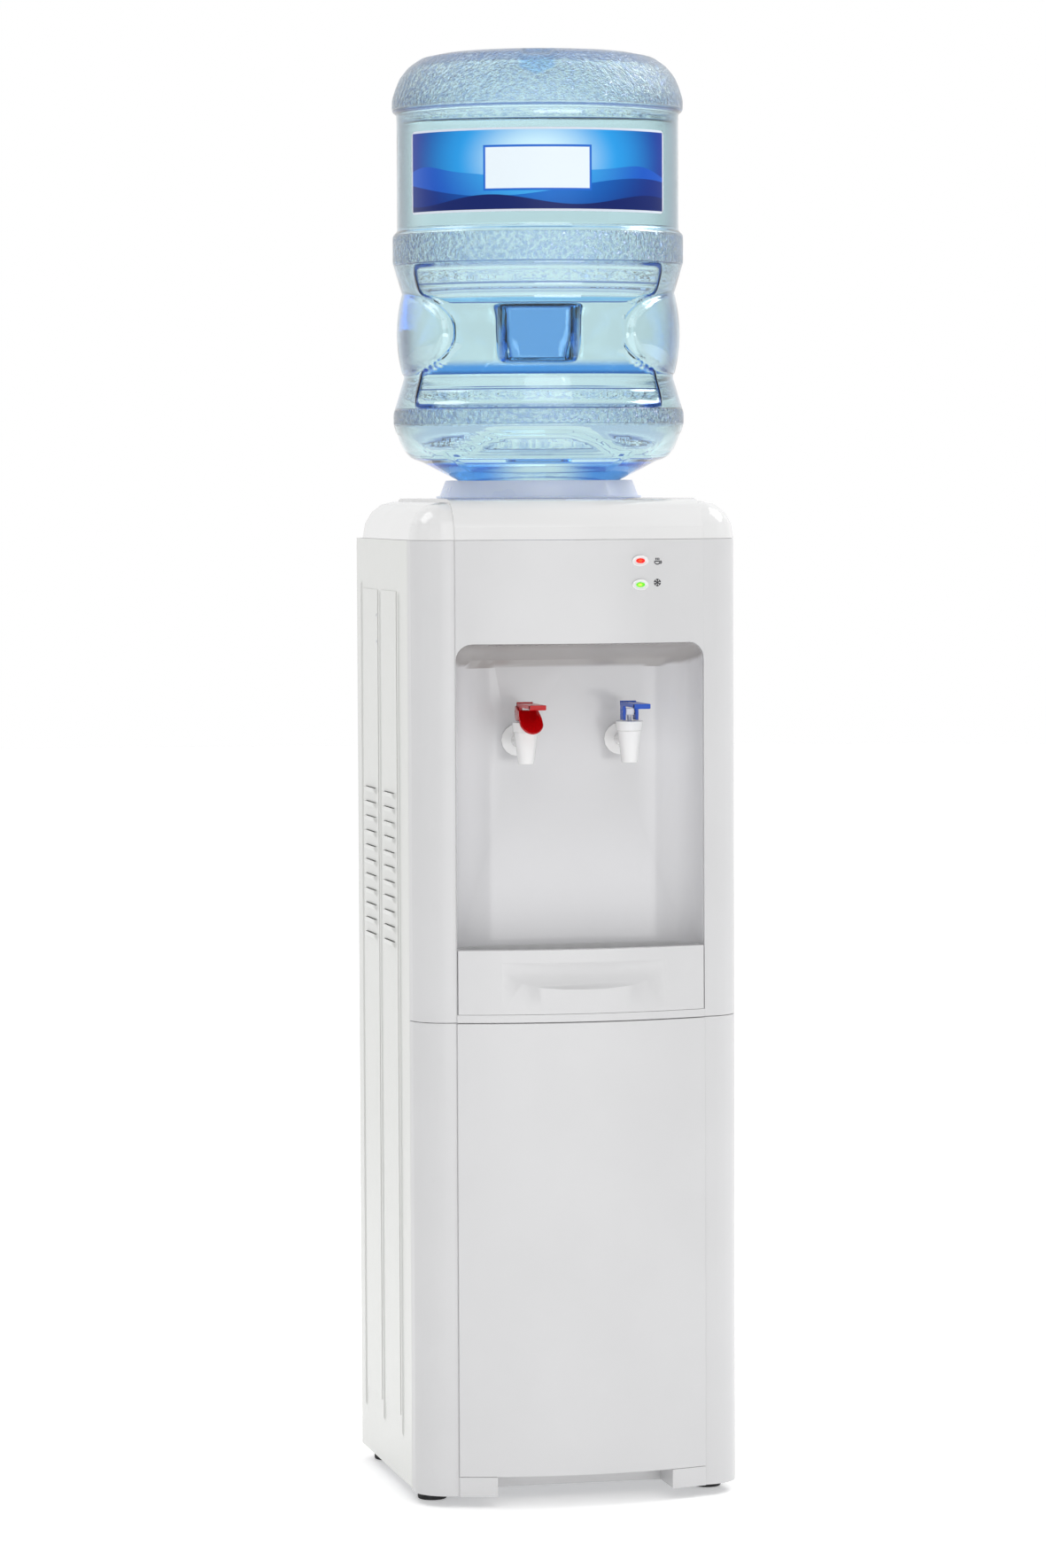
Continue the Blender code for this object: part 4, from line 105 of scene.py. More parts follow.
# Where painted shade and painted light lie on its back, standing in for light bent through its
# tapers: between which heights that fades in and out
PAINTED_SHADE_BAND = ((1.0500, 1.0525), (1.0675, 1.0585))
PAINTED_LIGHT_BAND = ((1.1205, 1.1235), (1.1345, 1.1265))

# The bottle's oval side pads, window frames, grip pocket and notch
PAD_MIDDLE = 1.0888
PAD_HALF_LENGTH = 0.110
PAD_HALF_HEIGHT = 0.0370
PAD_RISE = 0.0066
PAD_POWER = 2.3
FRAME_ANGLE = math.radians(58.7)
FRAME_LOW, FRAME_HIGH = 1.0190, 1.1525
RIB_MIDDLE = 0.0012
RIB_RISE = 0.0016
GRIP_MIDDLE = 1.0921
GRIP_HALF_HEIGHT = 0.026
GRIP_HALF_WIDTH = 0.0160
GRIP_DEPTH = 0.0350
ARCH_Z = 0.9972
ARCH_FALL = 0.0205
NOTCH_Z = 1.3240
NOTCH_SLOPE = 0.42
BOTTLE_MARKS = (*WAIST, *LOW_BAND, *CREASES, HIGH_BAND[0], (HIGH_BAND[1] + LABEL_FIELD[0]) / 2,
                (CROWN_FOOT + LABEL_FIELD[1]) / 2, GRIP_MIDDLE - GRIP_HALF_HEIGHT,
                GRIP_MIDDLE + GRIP_HALF_HEIGHT)

# Label: half its wrap, its round corners, how far it is off the bottle, its film, and its length
# over its height
LABEL_HALF_ANGLE = math.radians(61.5)
LABEL_CORNER = 0.0055
LABEL_GAP = 0.0003
LABEL_FILM = 0.0002
LABEL_LENGTHS = 3.6

# The bowed front: half its width, its rise over that, and where it stands
BOW_HALF = 0.118
BOW_RISE = 0.0175
BOW_RADIUS = (BOW_HALF ** 2 + BOW_RISE ** 2) / (2 * BOW_RISE)
BOW_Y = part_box("lower_front_insert")[0].y

# Lamps, and the pictograms beside them
LAMP_X = 0.0537
LENS_HALF_WIDTH, LENS_HALF_HEIGHT = 0.0030, 0.0018
PICTOGRAM_X = 0.0707
INK_WIDTH = 0.0009
INK_DEPTH = 0.00008
INK_GAP = 0.00006

# Taps, and the red guard in front of the hot one
TAP_X = 0.0492
TAP_Y = AXIS_Y - 0.157
CUP_TOP = 0.7275
PIN_Z = CUP_TOP + 0.0085
LIP_HALF = 0.0076
GUARD_HALF = 0.0108
GUARD_WALL = 0.0016
EAR_RADIUS = 0.0076

# Screws: heads' radii, the side panels' small ones as depths and heights, and the brackets' plate
PAN_HEAD = 0.0036
SMALL_HEAD = 0.0016
SIDE_X = 0.1555
SIDE_SCREWS = ((0.0133, 0.8236), (0.0133, 0.7984))
BRACKET_PLATE = 0.0018

# Condenser
RACK_Y = AXIS_Y + 0.144
RACK_HALF = 0.106
RACK_PITCH = 0.052
RACK_PASSES = 9
RACK_FOOT = 0.110
RACK_TUBE = 0.0024
RACK_WIRE = 0.0008
RACK_WIRES = 6
COMPRESSOR_PORT = (-0.035, AXIS_Y + 0.074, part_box("compressor")[0].z + 0.063)


# ---------------- node trees

def math_method(operation, swapped=False):
    """A method that adds one Math node to its value's tree."""
    def method(value, *others):
        inputs = (value,) + others
        return value.tree.math(operation, *(reversed(inputs) if swapped else inputs))
    return method


class Value:
    """A socket in a node tree. Python's operators on it add Math nodes to the tree."""

    def __init__(self, tree, socket):
        self.tree = tree
        self.socket = socket

    __add__ = __radd__ = math_method("ADD")
    __sub__ = math_method("SUBTRACT")
    __rsub__ = math_method("SUBTRACT", swapped=True)
    __mul__ = __rmul__ = math_method("MULTIPLY")
    __truediv__ = math_method("DIVIDE")
    __rtruediv__ = math_method("DIVIDE", swapped=True)
    __pow__ = math_method("POWER")
    __abs__ = math_method("ABSOLUTE")
    sqrt = math_method("SQRT")
    sin = math_method("SINE")
    cos = math_method("COSINE")
    fraction = math_method("FRACT")
    rounded = math_method("ROUND")
    least = math_method("MINIMUM")
    most = math_method("MAXIMUM")
    softly_least = math_method("SMOOTH_MIN")

    def ramp(self, low, high):
        """0 below low, 1 above high and a smooth S between them. high may be the lower one."""
        if high < low:
            return 1.0 - self.ramp(high, low)
        inputs = {"Value": self, "From Min": low, "From Max": high}
        return self.tree.node("ShaderNodeMapRange", {"interpolation_type": "SMOOTHSTEP"}, inputs)

    def hump(self, middle, width):
        """1 at the middle value, falling smoothly to 0 at a width to each side."""
        return abs(self - middle).ramp(width, 0.0)

    def band(self, low, high, soft=0.0010):
        """1 between two values and 0 outside them."""
        soft /= 2
        return self.ramp(low - soft, low + soft) * self.ramp(high + soft, high - soft)


class Tree:
    """A node tree with methods that add nodes to it."""

    def __init__(self, tree):
        self.tree = tree

    def node(self, kind, settings=None, inputs=None, output=0):
        """Adds a node, sets it up, fills or links its sockets and returns one of its outputs."""
        node = self.tree.nodes.new(kind)
        for name, setting in (settings or {}).items():
            setattr(node, name, setting)
        for name, value in (inputs or {}).items():
            self.fill(node.inputs[name], value)
        return Value(self, node.outputs[output])

    def fill(self, socket, value):
        """Links a Value to a socket, or sets the socket to a number, vector or colour."""
        if isinstance(value, Value):
            self.tree.links.new(value.socket, socket)
        else:
            socket.default_value = (*value, 1.0) if socket.type == "RGBA" else value

    def end(self, kind, value):
        """Adds the node that the tree ends in, and links a value to it."""
        self.tree.links.new(value.socket, self.tree.nodes.new(kind).inputs[0])

    def math(self, operation, *values):
        return self.node("ShaderNodeMath", {"operation": operation}, dict(enumerate(values)))

    def xyz(self, vector):
        """The x, y and z of a vector."""
        first = self.node("ShaderNodeSeparateXYZ", None, {0: vector})
        return [Value(self, output) for output in first.socket.node.outputs]

    def vector(self, x=0.0, y=0.0, z=0.0):
        return self.node("ShaderNodeCombineXYZ", None, {0: x, 1: y, 2: z})


class Finish(Tree):
    """A material built from nodes round one Principled shader."""

    def __init__(self, name, **sockets):
        self.material = bpy.data.materials.new(name)
        self.material.use_nodes = True
        super().__init__(self.material.node_tree)
        self.tree.nodes.clear()
        self.shader = self.tree.nodes.new("ShaderNodeBsdfPrincipled")
        self.end("ShaderNodeOutputMaterial", Value(self, self.shader.outputs[0]))
        self.place = self.node("ShaderNodeTexCoord", output="Object")
        self.set(**sockets)

    def set(self, **sockets):
        """Sets the shader's sockets, named with _ for a space."""
        for name, value in sockets.items():
            self.fill(self.shader.inputs[name.replace("_", " ")], value)

    def noise(self, size, detail=2.0, stretch=None, rough=0.5):
        """Soft noise from 0 to 1 whose blotches are about size metres across."""
        place = self.place
        if stretch:
            place = self.node("ShaderNodeMapping", None, {0: place, "Scale": stretch})
        inputs = {"Vector": place, "Scale": 1.0 / size, "Detail": detail, "Roughness": rough}
        return self.node("ShaderNodeTexNoise", None, inputs)

    def cells(self, size, output="Distance"):
        inputs = {"Vector": self.place, "Scale": 1.0 / size}
        return self.node("ShaderNodeTexVoronoi", {"feature": "F1"}, inputs, output)

    def edge(self, blend):
        """Near 1 where the surface is seen edge on."""
        return self.node("ShaderNodeLayerWeight", None, {"Blend": blend}, "Facing")

    def mix(self, mask, first, second):
        """The first colour where the mask is 0 and the second where it is 1."""
        return self.node("ShaderNodeMix", {"data_type": "RGBA"}, {0: mask, 6: first, 7: second}, 2)

    def bump(self, height, depth, strength=1.0, below=None):
        """A bump whose height runs from 0 to 1 over depth metres."""
        inputs = {"Strength": strength, "Distance": depth, "Height": height}
        if below is not None:
            inputs["Normal"] = below
        return self.node("ShaderNodeBump", None, inputs)


class Rule(Tree):
    """A Geometry Nodes tree with named inputs, from which it makes one mesh."""

    def __init__(self, name, **kinds):
        super().__init__(bpy.data.node_groups.new(name, "GeometryNodeTree"))
        face = self.tree.interface
        self.sockets = {
            label: face.new_socket(name=label, in_out="INPUT", socket_type="NodeSocket" + kind)
            for label, kind in kinds.items()}
        face.new_socket(name="mesh", in_out="OUTPUT", socket_type="NodeSocketGeometry")
        start = self.tree.nodes.new("NodeGroupInput")
        self.given = {label: Value(self, start.outputs[label]) for label in kinds}

    def step(self, kind, settings=None, output=0, **inputs):
        """Adds a geometry node. Its sockets are named with _ for a space."""
        inputs = {label.replace("_", " "): value for label, value in inputs.items()}
        return self.node("GeometryNode" + kind, settings, inputs, output)

    def shape(self, label):
        """The geometry of an object that the rule is given."""
        return self.step("ObjectInfo", output="Geometry", Object=self.given[label])

    def close(self, made, smooth=True):
        """Ends the tree: real geometry, with its material."""
        if smooth:
            made = self.step("SetShadeSmooth", Geometry=made, Shade_Smooth=True)
        made = self.step("RealizeInstances", Geometry=made)
        made = self.step("SetMaterial", Geometry=made, Material=self.given["finish"])
        self.end("NodeGroupOutput", made)

    def grow(self, name, **settings):
        """The plain mesh that the rule makes from these inputs."""
        holder = linked(name, bpy.data.meshes.new(name))
        modifier = holder.modifiers.new("rule", "NODES")
        modifier.node_group = self.tree
        for label, value in settings.items():
            modifier[self.sockets[label].identifier] = value
        return settled(holder)


def rgb(red, green, blue):
    """A colour given in a picture's 0 to 255 numbers, as the linear numbers that a shader takes."""
    linear = [c / 255.0 for c in (red, green, blue)]
    return tuple(c / 12.92 if c <= 0.04045 else ((c + 0.055) / 1.055) ** 2.4 for c in linear)


def shaded(colour, share):
    return tuple(c * share for c in colour)


def grey(level):
    return (level, level, level)


# ---------------- finishes

def surface(name, first, second, patches, gloss=None, skin=None, between=None, wander=None,
            **sockets):
    """A finish of two close colours, with a roughness that drifts and a fine skin of bumps.

    patches is the size and detail of the noise between the colours, and between the levels it
    turns on. gloss is the least roughness and what that noise, or one of its own in wander, adds.
    skin is the bumps' size, detail, depth and strength."""
    f = Finish(name, **sockets)
    drift = f.noise(*patches)
    f.set(Base_Color=f.mix(drift.ramp(*between) if between else drift, first, second))
    if gloss:
        f.set(Roughness=gloss[0] + (f.noise(*wander) if wander else drift) * gloss[1])
    if skin:
        size, detail, depth, strength = skin
        f.set(Normal=f.bump(f.noise(size, detail), depth, strength))
    return f.material


def moulding(name, colour, gloss=0.32, grain=0.0007, depth=0.00002, **sockets):
    """Injection-moulded plastic: faint flow marks in its colour and a spark-eroded grain."""
    f = Finish(name, **sockets)
    flow = f.noise(0.11, 3.0)
    skin = f.noise(grain, 2.0, rough=0.6)
    f.set(Base_Color=f.mix(flow.ramp(0.35, 0.7), colour, shaded(colour, 0.975)))
    f.set(Roughness=gloss + (f.noise(0.03, 4.0) - 0.5) * 0.08 + (skin - 0.5) * 0.06)
    f.set(Normal=f.bump(skin, depth, 0.6))
    return f.material


def niche_moulding(name, colour, cove):
    """Moulded liner: painted shade and more gloss where its top curves over and faces down, and
    painted light making it paler at its sides and foot.
    """
    f = Finish(name, Coat_Weight=0.25, Coat_Roughness=0.08)
    # Painted shade where the surface faces down under the ceiling.
    over = f.xyz(f.node("ShaderNodeTexCoord", output="Normal"))[2].ramp(-0.04, -0.30)
    x, _, z = f.xyz(f.place)
    # Painted light makes the sides and the foot paler.
    returns = abs(x).ramp(0.060, 0.108).most(z.ramp(0.66, 0.52))
    flow = f.noise(0.11, 3.0)
    wall = f.mix(flow.ramp(0.35, 0.7), colour, shaded(colour, 0.98))
    wall = f.mix(returns, wall, shaded(colour, 1.30))
    f.set(Base_Color=f.mix(over, wall, cove))
    f.set(Roughness=0.26 + (flow - 0.5) * 0.06 - over * 0.12)
    f.set(Normal=f.bump(f.noise(0.0007, 2.0, rough=0.6), 0.00002, 0.5))
    return f.material


def plated_steel(name, colour=(0.62, 0.63, 0.65), rough=0.36):
    """Zinc-plated sheet: pale spangle and rolling marks."""
    f = Finish(name, Metallic=1.0)
    tone = f.node("ShaderNodeSeparateColor", None, {0: f.cells(0.006, "Color")})
    rolled = f.noise(0.004, 3.0, (1.0, 14.0, 1.0))
    f.set(Base_Color=f.mix(tone, shaded(colour, 0.86), colour))
    f.set(Roughness=rough + (tone - 0.5) * 0.16 + (rolled - 0.5) * 0.1)
    f.set(Normal=f.bump(rolled, 0.00002, 0.5))
    return f.material


def drawn_steel(name):
    """Deep-drawn stainless steel with fine rings left by the press and polish."""
    f = Finish(name, Metallic=1.0)
    lines = f.noise(0.0012, 2.0, (0.04, 0.04, 1.0))
    f.set(Base_Color=f.mix(lines, (0.60, 0.60, 0.62), (0.74, 0.74, 0.76)))
    f.set(Roughness=0.22 + (lines - 0.5) * 0.16)
    f.set(Normal=f.bump(lines, 0.00002, 0.6))
    return f.material


def enamel(name):
    """Black stoving enamel: glossy, with a little sag and dust in it."""
    f = Finish(name, Coat_Weight=0.4, Coat_Roughness=0.1)
    dust = f.noise(0.05, 5.0).ramp(0.5, 0.85)
    f.set(Base_Color=f.mix(dust * 0.35, (0.012, 0.012, 0.014), (0.10, 0.10, 0.105)))
    f.set(Roughness=0.26 + dust * 0.22, Normal=f.bump(f.noise(0.006), 0.0001, 0.35))
    return f.material


def foam(name):
    """Moulded insulating foam: matt, cream and full of small cells."""
    f = Finish(name)
    cell = f.cells(0.0022)
    f.set(Base_Color=f.mix(f.noise(0.04, 4.0), (0.80, 0.74, 0.55), (0.88, 0.84, 0.70)))
    f.set(Roughness=0.85 + (cell - 0.5) * 0.1, Normal=f.bump(cell, 0.0004, 0.7))
    return f.material


def lamp_lens(name, node, colour, core):
    """Clear tinted lens over a lit chip, brightest at its middle."""
    f = Finish(name, Transmission_Weight=0.25, Emission_Strength=0.5, IOR=1.49)
    x, _, z = f.xyz(f.place)
    centre = middle(node)
    away = ((x - centre.x) / LENS_HALF_WIDTH) ** 2.0 + ((z - centre.z) / LENS_HALF_HEIGHT) ** 2.0
    facets = f.noise(0.0016)
    lit = f.mix((away.sqrt() + (facets - 0.5) * 0.7).ramp(1.0, 0.2), colour, core)
    f.set(Base_Color=lit, Emission_Color=lit)
    f.set(Roughness=0.12 + facets * 0.1, Normal=f.bump(facets, 0.0002, 0.4))
    return f.material


def guard_plastic(name):
    """Clear deep red plastic, with a painted pale highlight where it is seen edge on."""
    f = Finish(name, Transmission_Weight=0.45, IOR=1.49, Coat_Weight=0.2, Coat_Roughness=0.05)
    flow = f.noise(0.008)
    body = f.mix(flow, rgb(214, 8, 16), rgb(196, 4, 12))
    # Painted highlight: pale pink where the plastic is seen edge on.
    f.set(Base_Color=f.mix(f.edge(0.3).ramp(0.7, 1.0), body, rgb(238, 120, 120)))
    f.set(Roughness=0.08 + flow * 0.06, Normal=f.bump(flow, 0.0002, 0.2))
    return f.material


def bottle_plastic(name):
    """Clear blown plastic with stippled bands, pale where looked through; its colour carries
    painted deep-blue shade, painted light and painted glints standing in for light bent through it.
    """
    f = Finish(name, Transmission_Weight=1.0, IOR=1.50, Emission_Strength=1.0)
    # How far a point lies to the right of the bottle's axis and behind it, both in its own turn
    x, y, z = f.xyz(f.place)
    y = y - AXIS_Y
    across = x * math.cos(BOTTLE_TURN) + y * math.sin(BOTTLE_TURN)
    behind = y * math.cos(BOTTLE_TURN) - x * math.sin(BOTTLE_TURN)
    radius = (across ** 2.0 + behind ** 2.0).sqrt()
    aside = abs(across)
    rear = behind.ramp(-0.01, 0.03)
    edge = f.edge(0.35)
    window = aside.ramp(0.117, 0.110)
    # The crown and both bands are stippled; emission paints glints on them, towards the right
    stipple = (z.ramp(CROWN_FOOT + 0.0010, CROWN_FOOT + 0.0025)
               + z.band(HIGH_BAND[0] - 0.0016, HIGH_BAND[1] - 0.0010)
               + z.band(LOW_BAND[0] + 0.0004, LOW_BAND[1] + 0.0034)).least(1.0)
    speckle = f.noise(0.0042, 3.0, rough=0.8)
    painted_glint = stipple * speckle.ramp(0.635, 0.68) * across.ramp(-0.06, 0.09)
    # Painted shade in the grip pocket, and painted shade and light in bands at the back, standing
    # in for light bent through the tapers and the water
    pocket = radius.ramp(0.1255, 0.1235)
    pocket = pocket * z.band(GRIP_MIDDLE - 0.0275, GRIP_MIDDLE + 0.0275, 0.002)
    painted_shade, painted_light = (z.ramp(*foot) * z.ramp(*head) * rear
                     for foot, head in (PAINTED_SHADE_BAND, PAINTED_LIGHT_BAND))
    painted_low_line = z.hump(PAINTED_SHADE_BAND[0][1] + 0.0005, 0.0042) * rear
    # Painted shade in the notch, at the frames' uprights and in the cone towards the neck at its
    # sides; the shoulder's lobes get less painted edge shade
    notch = behind.ramp(-0.04, -0.06) * aside.ramp(0.0180, 0.0140)
    notch = notch * (z - aside * NOTCH_SLOPE).ramp(NOTCH_Z - 0.0002, NOTCH_Z + 0.0022)
    rib = f.node("ShaderNodeAttribute", {"attribute_name": "rib"}, None, "Fac")
    ends = rib.ramp(0.12, 0.65) * abs(z - PAD_MIDDLE).ramp(0.026, 0.038)
    ends = ends * (0.3 + aside.ramp(0.092, 0.106) * 0.9)
    painted_cone_shade = z.ramp(0.9700, 0.9640) * aside.ramp(0.010, 0.055)
    lobe = z.band(0.9680, 1.0020, 0.004)
    above = z.ramp(TOP_Z - WATER_DROP - 0.0005, TOP_Z - WATER_DROP + 0.0005)
    # Painted shade in thin lines along the creases and the bands' edges
    lines = z.hump(FRAME_HIGH + 0.0017, 0.0011)
    for crease in (*CREASES, FRAME_LOW - 0.0012):
        lines = lines + z.hump(crease, 0.0011) * window
    lines = lines + z.hump(CROWN_FOOT - 0.0005, 0.0016) + z.hump(WAIST[1] - 0.0006, 0.0012) * rear
    colour = f.mix(f.noise(0.05), (0.80, 0.925, 0.945), (0.785, 0.92, 0.945))
    # Each tint below is painted light or shade standing in for light bent through the shell and
    # water.
    for mask, tint in (
            # Painted bluer shade above the water, where the shell holds only air.
            (above * 0.8, (0.62, 0.76, 0.98)),
            # Painted shade along the crown's top edge.
            (z.ramp(TOP_Z - 0.010, TOP_Z - 0.003) * 0.7, (0.20, 0.36, 0.72)),
            (painted_light * 0.8 + notch * 0.5, (0.22, 0.60, 1.0)),
            ((painted_shade + pocket * 0.85).least(1.0), (0.10, 0.40, 0.94)),
            (painted_cone_shade, (0.12, 0.36, 0.84)),
            (painted_low_line, (0.03, 0.17, 0.56)),
            ((ends * 1.2 + lines * 0.85).least(1.0), (0.03, 0.14, 0.52)),
            # Speckled painted shade in the stipple, deeper towards the edges.
            (stipple * speckle.ramp(0.46, 0.58) * (0.45 + edge.ramp(0.05, 0.6) * 0.55),
             (0.16, 0.33, 0.76)),
            # Painted shade where the shell is seen edge on, greyer beside the label.
            (edge.ramp(0.38, 0.95) * (1.0 - lobe * 0.75), (0.14, 0.31, 0.60)),
            (edge.ramp(0.30, 0.75) * z.band(LABEL_FIELD[0] + 0.0018, CROWN_FOOT - 0.0010) * 0.7,
             (0.24, 0.34, 0.42))):
        colour = f.mix(mask, colour, tint)
    f.set(Base_Color=colour, Roughness=0.012 + stipple * 0.07)
    # Painted glints: emission on the stipple, though the bottle is no lamp.
    f.set(Emission_Color=f.mix(painted_glint, grey(0.0), (0.75, 0.80, 0.85)))
    soft = f.bump(f.noise(0.035), 0.0006, 0.25)
    f.set(Normal=f.bump(speckle * stipple, 0.0016, 1.0, soft))
    return f.material


def label_film(name):
    """Printed film: hills under a glowing sky, a blank rounded panel and a pale border."""
    f = Finish(name, Coat_Weight=0.25, Coat_Roughness=0.08, Specular_IOR_Level=0.3)
    u, v, _ = f.xyz(f.node("ShaderNodeUVMap", {"uv_map": "wrap"}))
    glow = (((u - 0.5) * 2.2) ** 2.0 + ((v - 0.62) * 0.9) ** 2.0).sqrt()
    art = f.mix(glow.ramp(0.10, 0.62), rgb(206, 240, 252), rgb(38, 158, 232))
    art = f.mix(glow.ramp(0.50, 1.10), art, rgb(0, 50, 148))
    hills = (
        (0.46 + (u * 9.0 + 0.6).sin() * 0.09 + (u * 23.0).sin() * 0.02,
         f.mix(glow.ramp(0.2, 0.9), rgb(60, 170, 236), rgb(14, 84, 190))),
        (0.30 + (u * 6.0 + 2.6).sin() * 0.11,
         f.mix(glow.ramp(0.2, 1.0), rgb(10, 112, 206), rgb(0, 42, 128))),
        (0.15 + (u * 11.0 + 4.1).sin() * 0.06, rgb(0, 28, 100)))
    for crest, tint in hills:
        art = f.mix((crest - v).ramp(0.0, 0.012), art, tint)

    def beyond(half_width, height, half_height):
        """How far a point lies outside a box, as a share of the label's length."""
        return (abs(u - 0.5) - half_width).most((abs(v - height) - half_height) / LABEL_LENGTHS)

    panel = beyond(0.17, 0.52, 0.24)
    art = f.mix(panel.ramp(0.010, 0.008), art, rgb(24, 104, 206))
    art = f.mix(panel.ramp(0.003, 0.0), art, rgb(232, 243, 250))
    art = f.mix(beyond(0.5, 0.5, 0.5).ramp(-0.0085, -0.0065), art, rgb(214, 222, 234))
    f.set(Base_Color=art, Roughness=0.30 + f.noise(0.004) * 0.08)
    return f.material


def middle(node):
    low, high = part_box(node)
    return (low + high) / 2


STEEL = rgb(214, 215, 212)
FINISHES = {
    "white": moulding("white_moulding", rgb(209, 209, 210), gloss=0.3),
    # Its second colour is painted shade, for where the liner's top curves over.
    "niche": niche_moulding("niche_moulding", rgb(197, 197, 199), rgb(168, 165, 164)),
    "cover": moulding("gloss_white_moulding", rgb(228, 228, 228), gloss=0.16, depth=0.00001,
                      Coat_Weight=0.35, Coat_Roughness=0.06),
    "tap": moulding("tap_moulding", rgb(232, 232, 232), gloss=0.2, grain=0.0005, Coat_Weight=0.2,
                    Subsurface_Weight=0.2, Subsurface_Radius=(0.003, 0.003, 0.003)),
    "cap": moulding("cap_blue", rgb(60, 120, 205), gloss=0.3),
    "hot": moulding("lever_red", rgb(176, 0, 12), gloss=0.22, Specular_IOR_Level=0.22),
    "cold": moulding("lever_blue", rgb(0, 72, 178), gloss=0.22, Specular_IOR_Level=0.22),
    "black": moulding("black_moulding", rgb(34, 34, 35), gloss=0.4),
    "rocker_hot": moulding("rocker_red", rgb(190, 20, 24), gloss=0.22),
    "rocker_cold": moulding("rocker_green", rgb(22, 130, 62), gloss=0.22),
    "tank": moulding("tank_moulding", rgb(230, 230, 228), gloss=0.45, grain=0.0012),
    "steel": surface("powder_coated_steel", STEEL, shaded(STEEL, 0.98), (0.2, 3.0), (0.29, 0.10),
                     (0.0022, 1.5, 0.00006, 0.5), between=(0.3, 0.7), wander=(0.012, 3.0),
                     Coat_Weight=0.25, Coat_Roughness=0.2),
    "copper": surface("copper_tube", (0.82, 0.42, 0.27), (0.40, 0.19, 0.11), (0.018, 4.0),
                      (0.24, 0.22), (0.0015, 2.0, 0.00003, 0.4), between=(0.35, 0.7), Metallic=1.0),
    "rubber": surface("black_rubber", (0.018, 0.018, 0.019), (0.0396, 0.0396, 0.0418),
                      (0.006, 4.0), (0.55, 0.2), (0.0009, 3.0, 0.00006, 0.6), between=(0.45, 0.8),
                      Specular_IOR_Level=0.35),
    "hose": surface("hose_silicone", (0.72, 0.72, 0.70), (0.82, 0.82, 0.81), (0.02, 3.0),
                    (0.38, 0.12), (0.001, 2.0, 0.00004, 0.4), wander=(0.003, 2.0),
                    Subsurface_Weight=0.25, Subsurface_Radius=(0.004, 0.004, 0.004)),
    # Emission paints a faint glow on the seat, lightening it in the bottle's shadow; it is no lamp.
    "seat": surface("seat_plastic", rgb(216, 228, 253), rgb(222, 232, 254), (0.05, 3.0),
                    (0.24, 0.08), (0.0012, 2.0, 0.00003, 0.4), Subsurface_Weight=0.35,
                    Subsurface_Radius=(0.006, 0.007, 0.012), Coat_Weight=0.2,
                    Emission_Strength=0.13, Emission_Color=(0.62, 0.74, 1.0)),
    "ink": surface("pictogram_ink", (0.03, 0.03, 0.035), (0.048, 0.048, 0.056),
                   (0.0006, 2.0), (0.5, 0.1), wander=(0.001, 2.0)),
    "water": surface("water", (0.93, 0.985, 0.985), (0.92, 0.975, 0.985), (0.2, 1.0),
                     Transmission_Weight=1.0, IOR=1.33, Roughness=0.0),
    "floor": surface("studio_floor", grey(0.93), grey(0.95), (0.6, 3.0), (0.7, 0.1),
                     wander=(0.02, 2.0), Specular_IOR_Level=0.1, Emission_Color=grey(1.0),
                     Emission_Strength=0.30),
    "zinc": plated_steel("zinc_plate"),
    "brass": plated_steel("plated_brass", (0.72, 0.62, 0.38), 0.28),
    "stainless": drawn_steel("stainless"),
    "enamel": enamel("black_enamel"),
    "shell": enamel("compressor_enamel"),
    "foam": foam("foam"),
    "guard": guard_plastic("guard_red"),
    "lamp_hot": lamp_lens("lamp_red", "indicator_lamp_hot", (0.85, 0.01, 0.01),
                          (1.0, 0.10, 0.02)),
    "lamp_cold": lamp_lens("lamp_green", "indicator_lamp_cold", (0.14, 0.62, 0.03),
                           (0.62, 0.95, 0.10)),
    "bottle": bottle_plastic("bottle_plastic"),
    "label": label_film("label_film"),
}

# The nodes that each finish goes on, as patterns. Those with a skin are dressed: the numbers are
# how wide their edges are broken, in metres, and up to what angle in degrees they shade smooth.
SKINNED = {
    "white": (0.0005, 32, "upper_front_panel drip_tray drip_grille lower_front_panel "
                          "lower_front_insert"),
    "niche": (0.0004, 32, "niche_liner"),
    "cover": (0.0, 32, "top_cover"),
    "steel": (0.0, 32, "side_panel_* rear_panel"),
    "seat": (0.0004, 32, "bottle_collar feed_probe"),
    "cap": (0.0004, 32, "bottle_cap"),
    "rubber": (0.0006, 40, "foot_* compressor_grommet_*"),
    "zinc": (0.0002, 32, "base_plate tank_shelf condenser_bracket_* heater_band"),
    "copper": (0.0, 50, "evaporator_coil suction_line filter_drier"),
    "tap": (0.0003, 32, "tap_body_hot tap_body_cold tap_bonnet_hot tap_bonnet_cold tap_stem_hot "
                        "tap_stem_cold tap_nut_hot tap_nut_cold"),
    "hot": (0.0005, 32, "tap_lever_hot"),
    "cold": (0.0005, 32, "tap_lever_cold"),
    "black": (0.0005, 32, "hot_thermostat switch_housing power_inlet drain_plug"),
    "rocker_hot": (0.0005, 32, "heater_switch"),
    "rocker_cold": (0.0005, 32, "cooler_switch"),
    "shell": (0.0006, 35, "compressor"),
}
BARE = {
    "bottle": "bottle", "label": "bottle_label", "stainless": "cold_tank hot_tank",
    "foam": "*_tank_jacket", "tank": "cold_tank_lid baffle_with_feed_pipe",
    "enamel": "condenser", "hose": "*_tap_hose", "guard": "hot_lever_guard",
    "lamp_hot": "indicator_lamp_hot", "lamp_cold": "indicator_lamp_cold",
}


# ---------------- making pieces

def linked(name, data):
    """A new object in the scene."""
    thing = bpy.data.objects.new(name, data)
    bpy.context.scene.collection.objects.link(thing)
    return thing


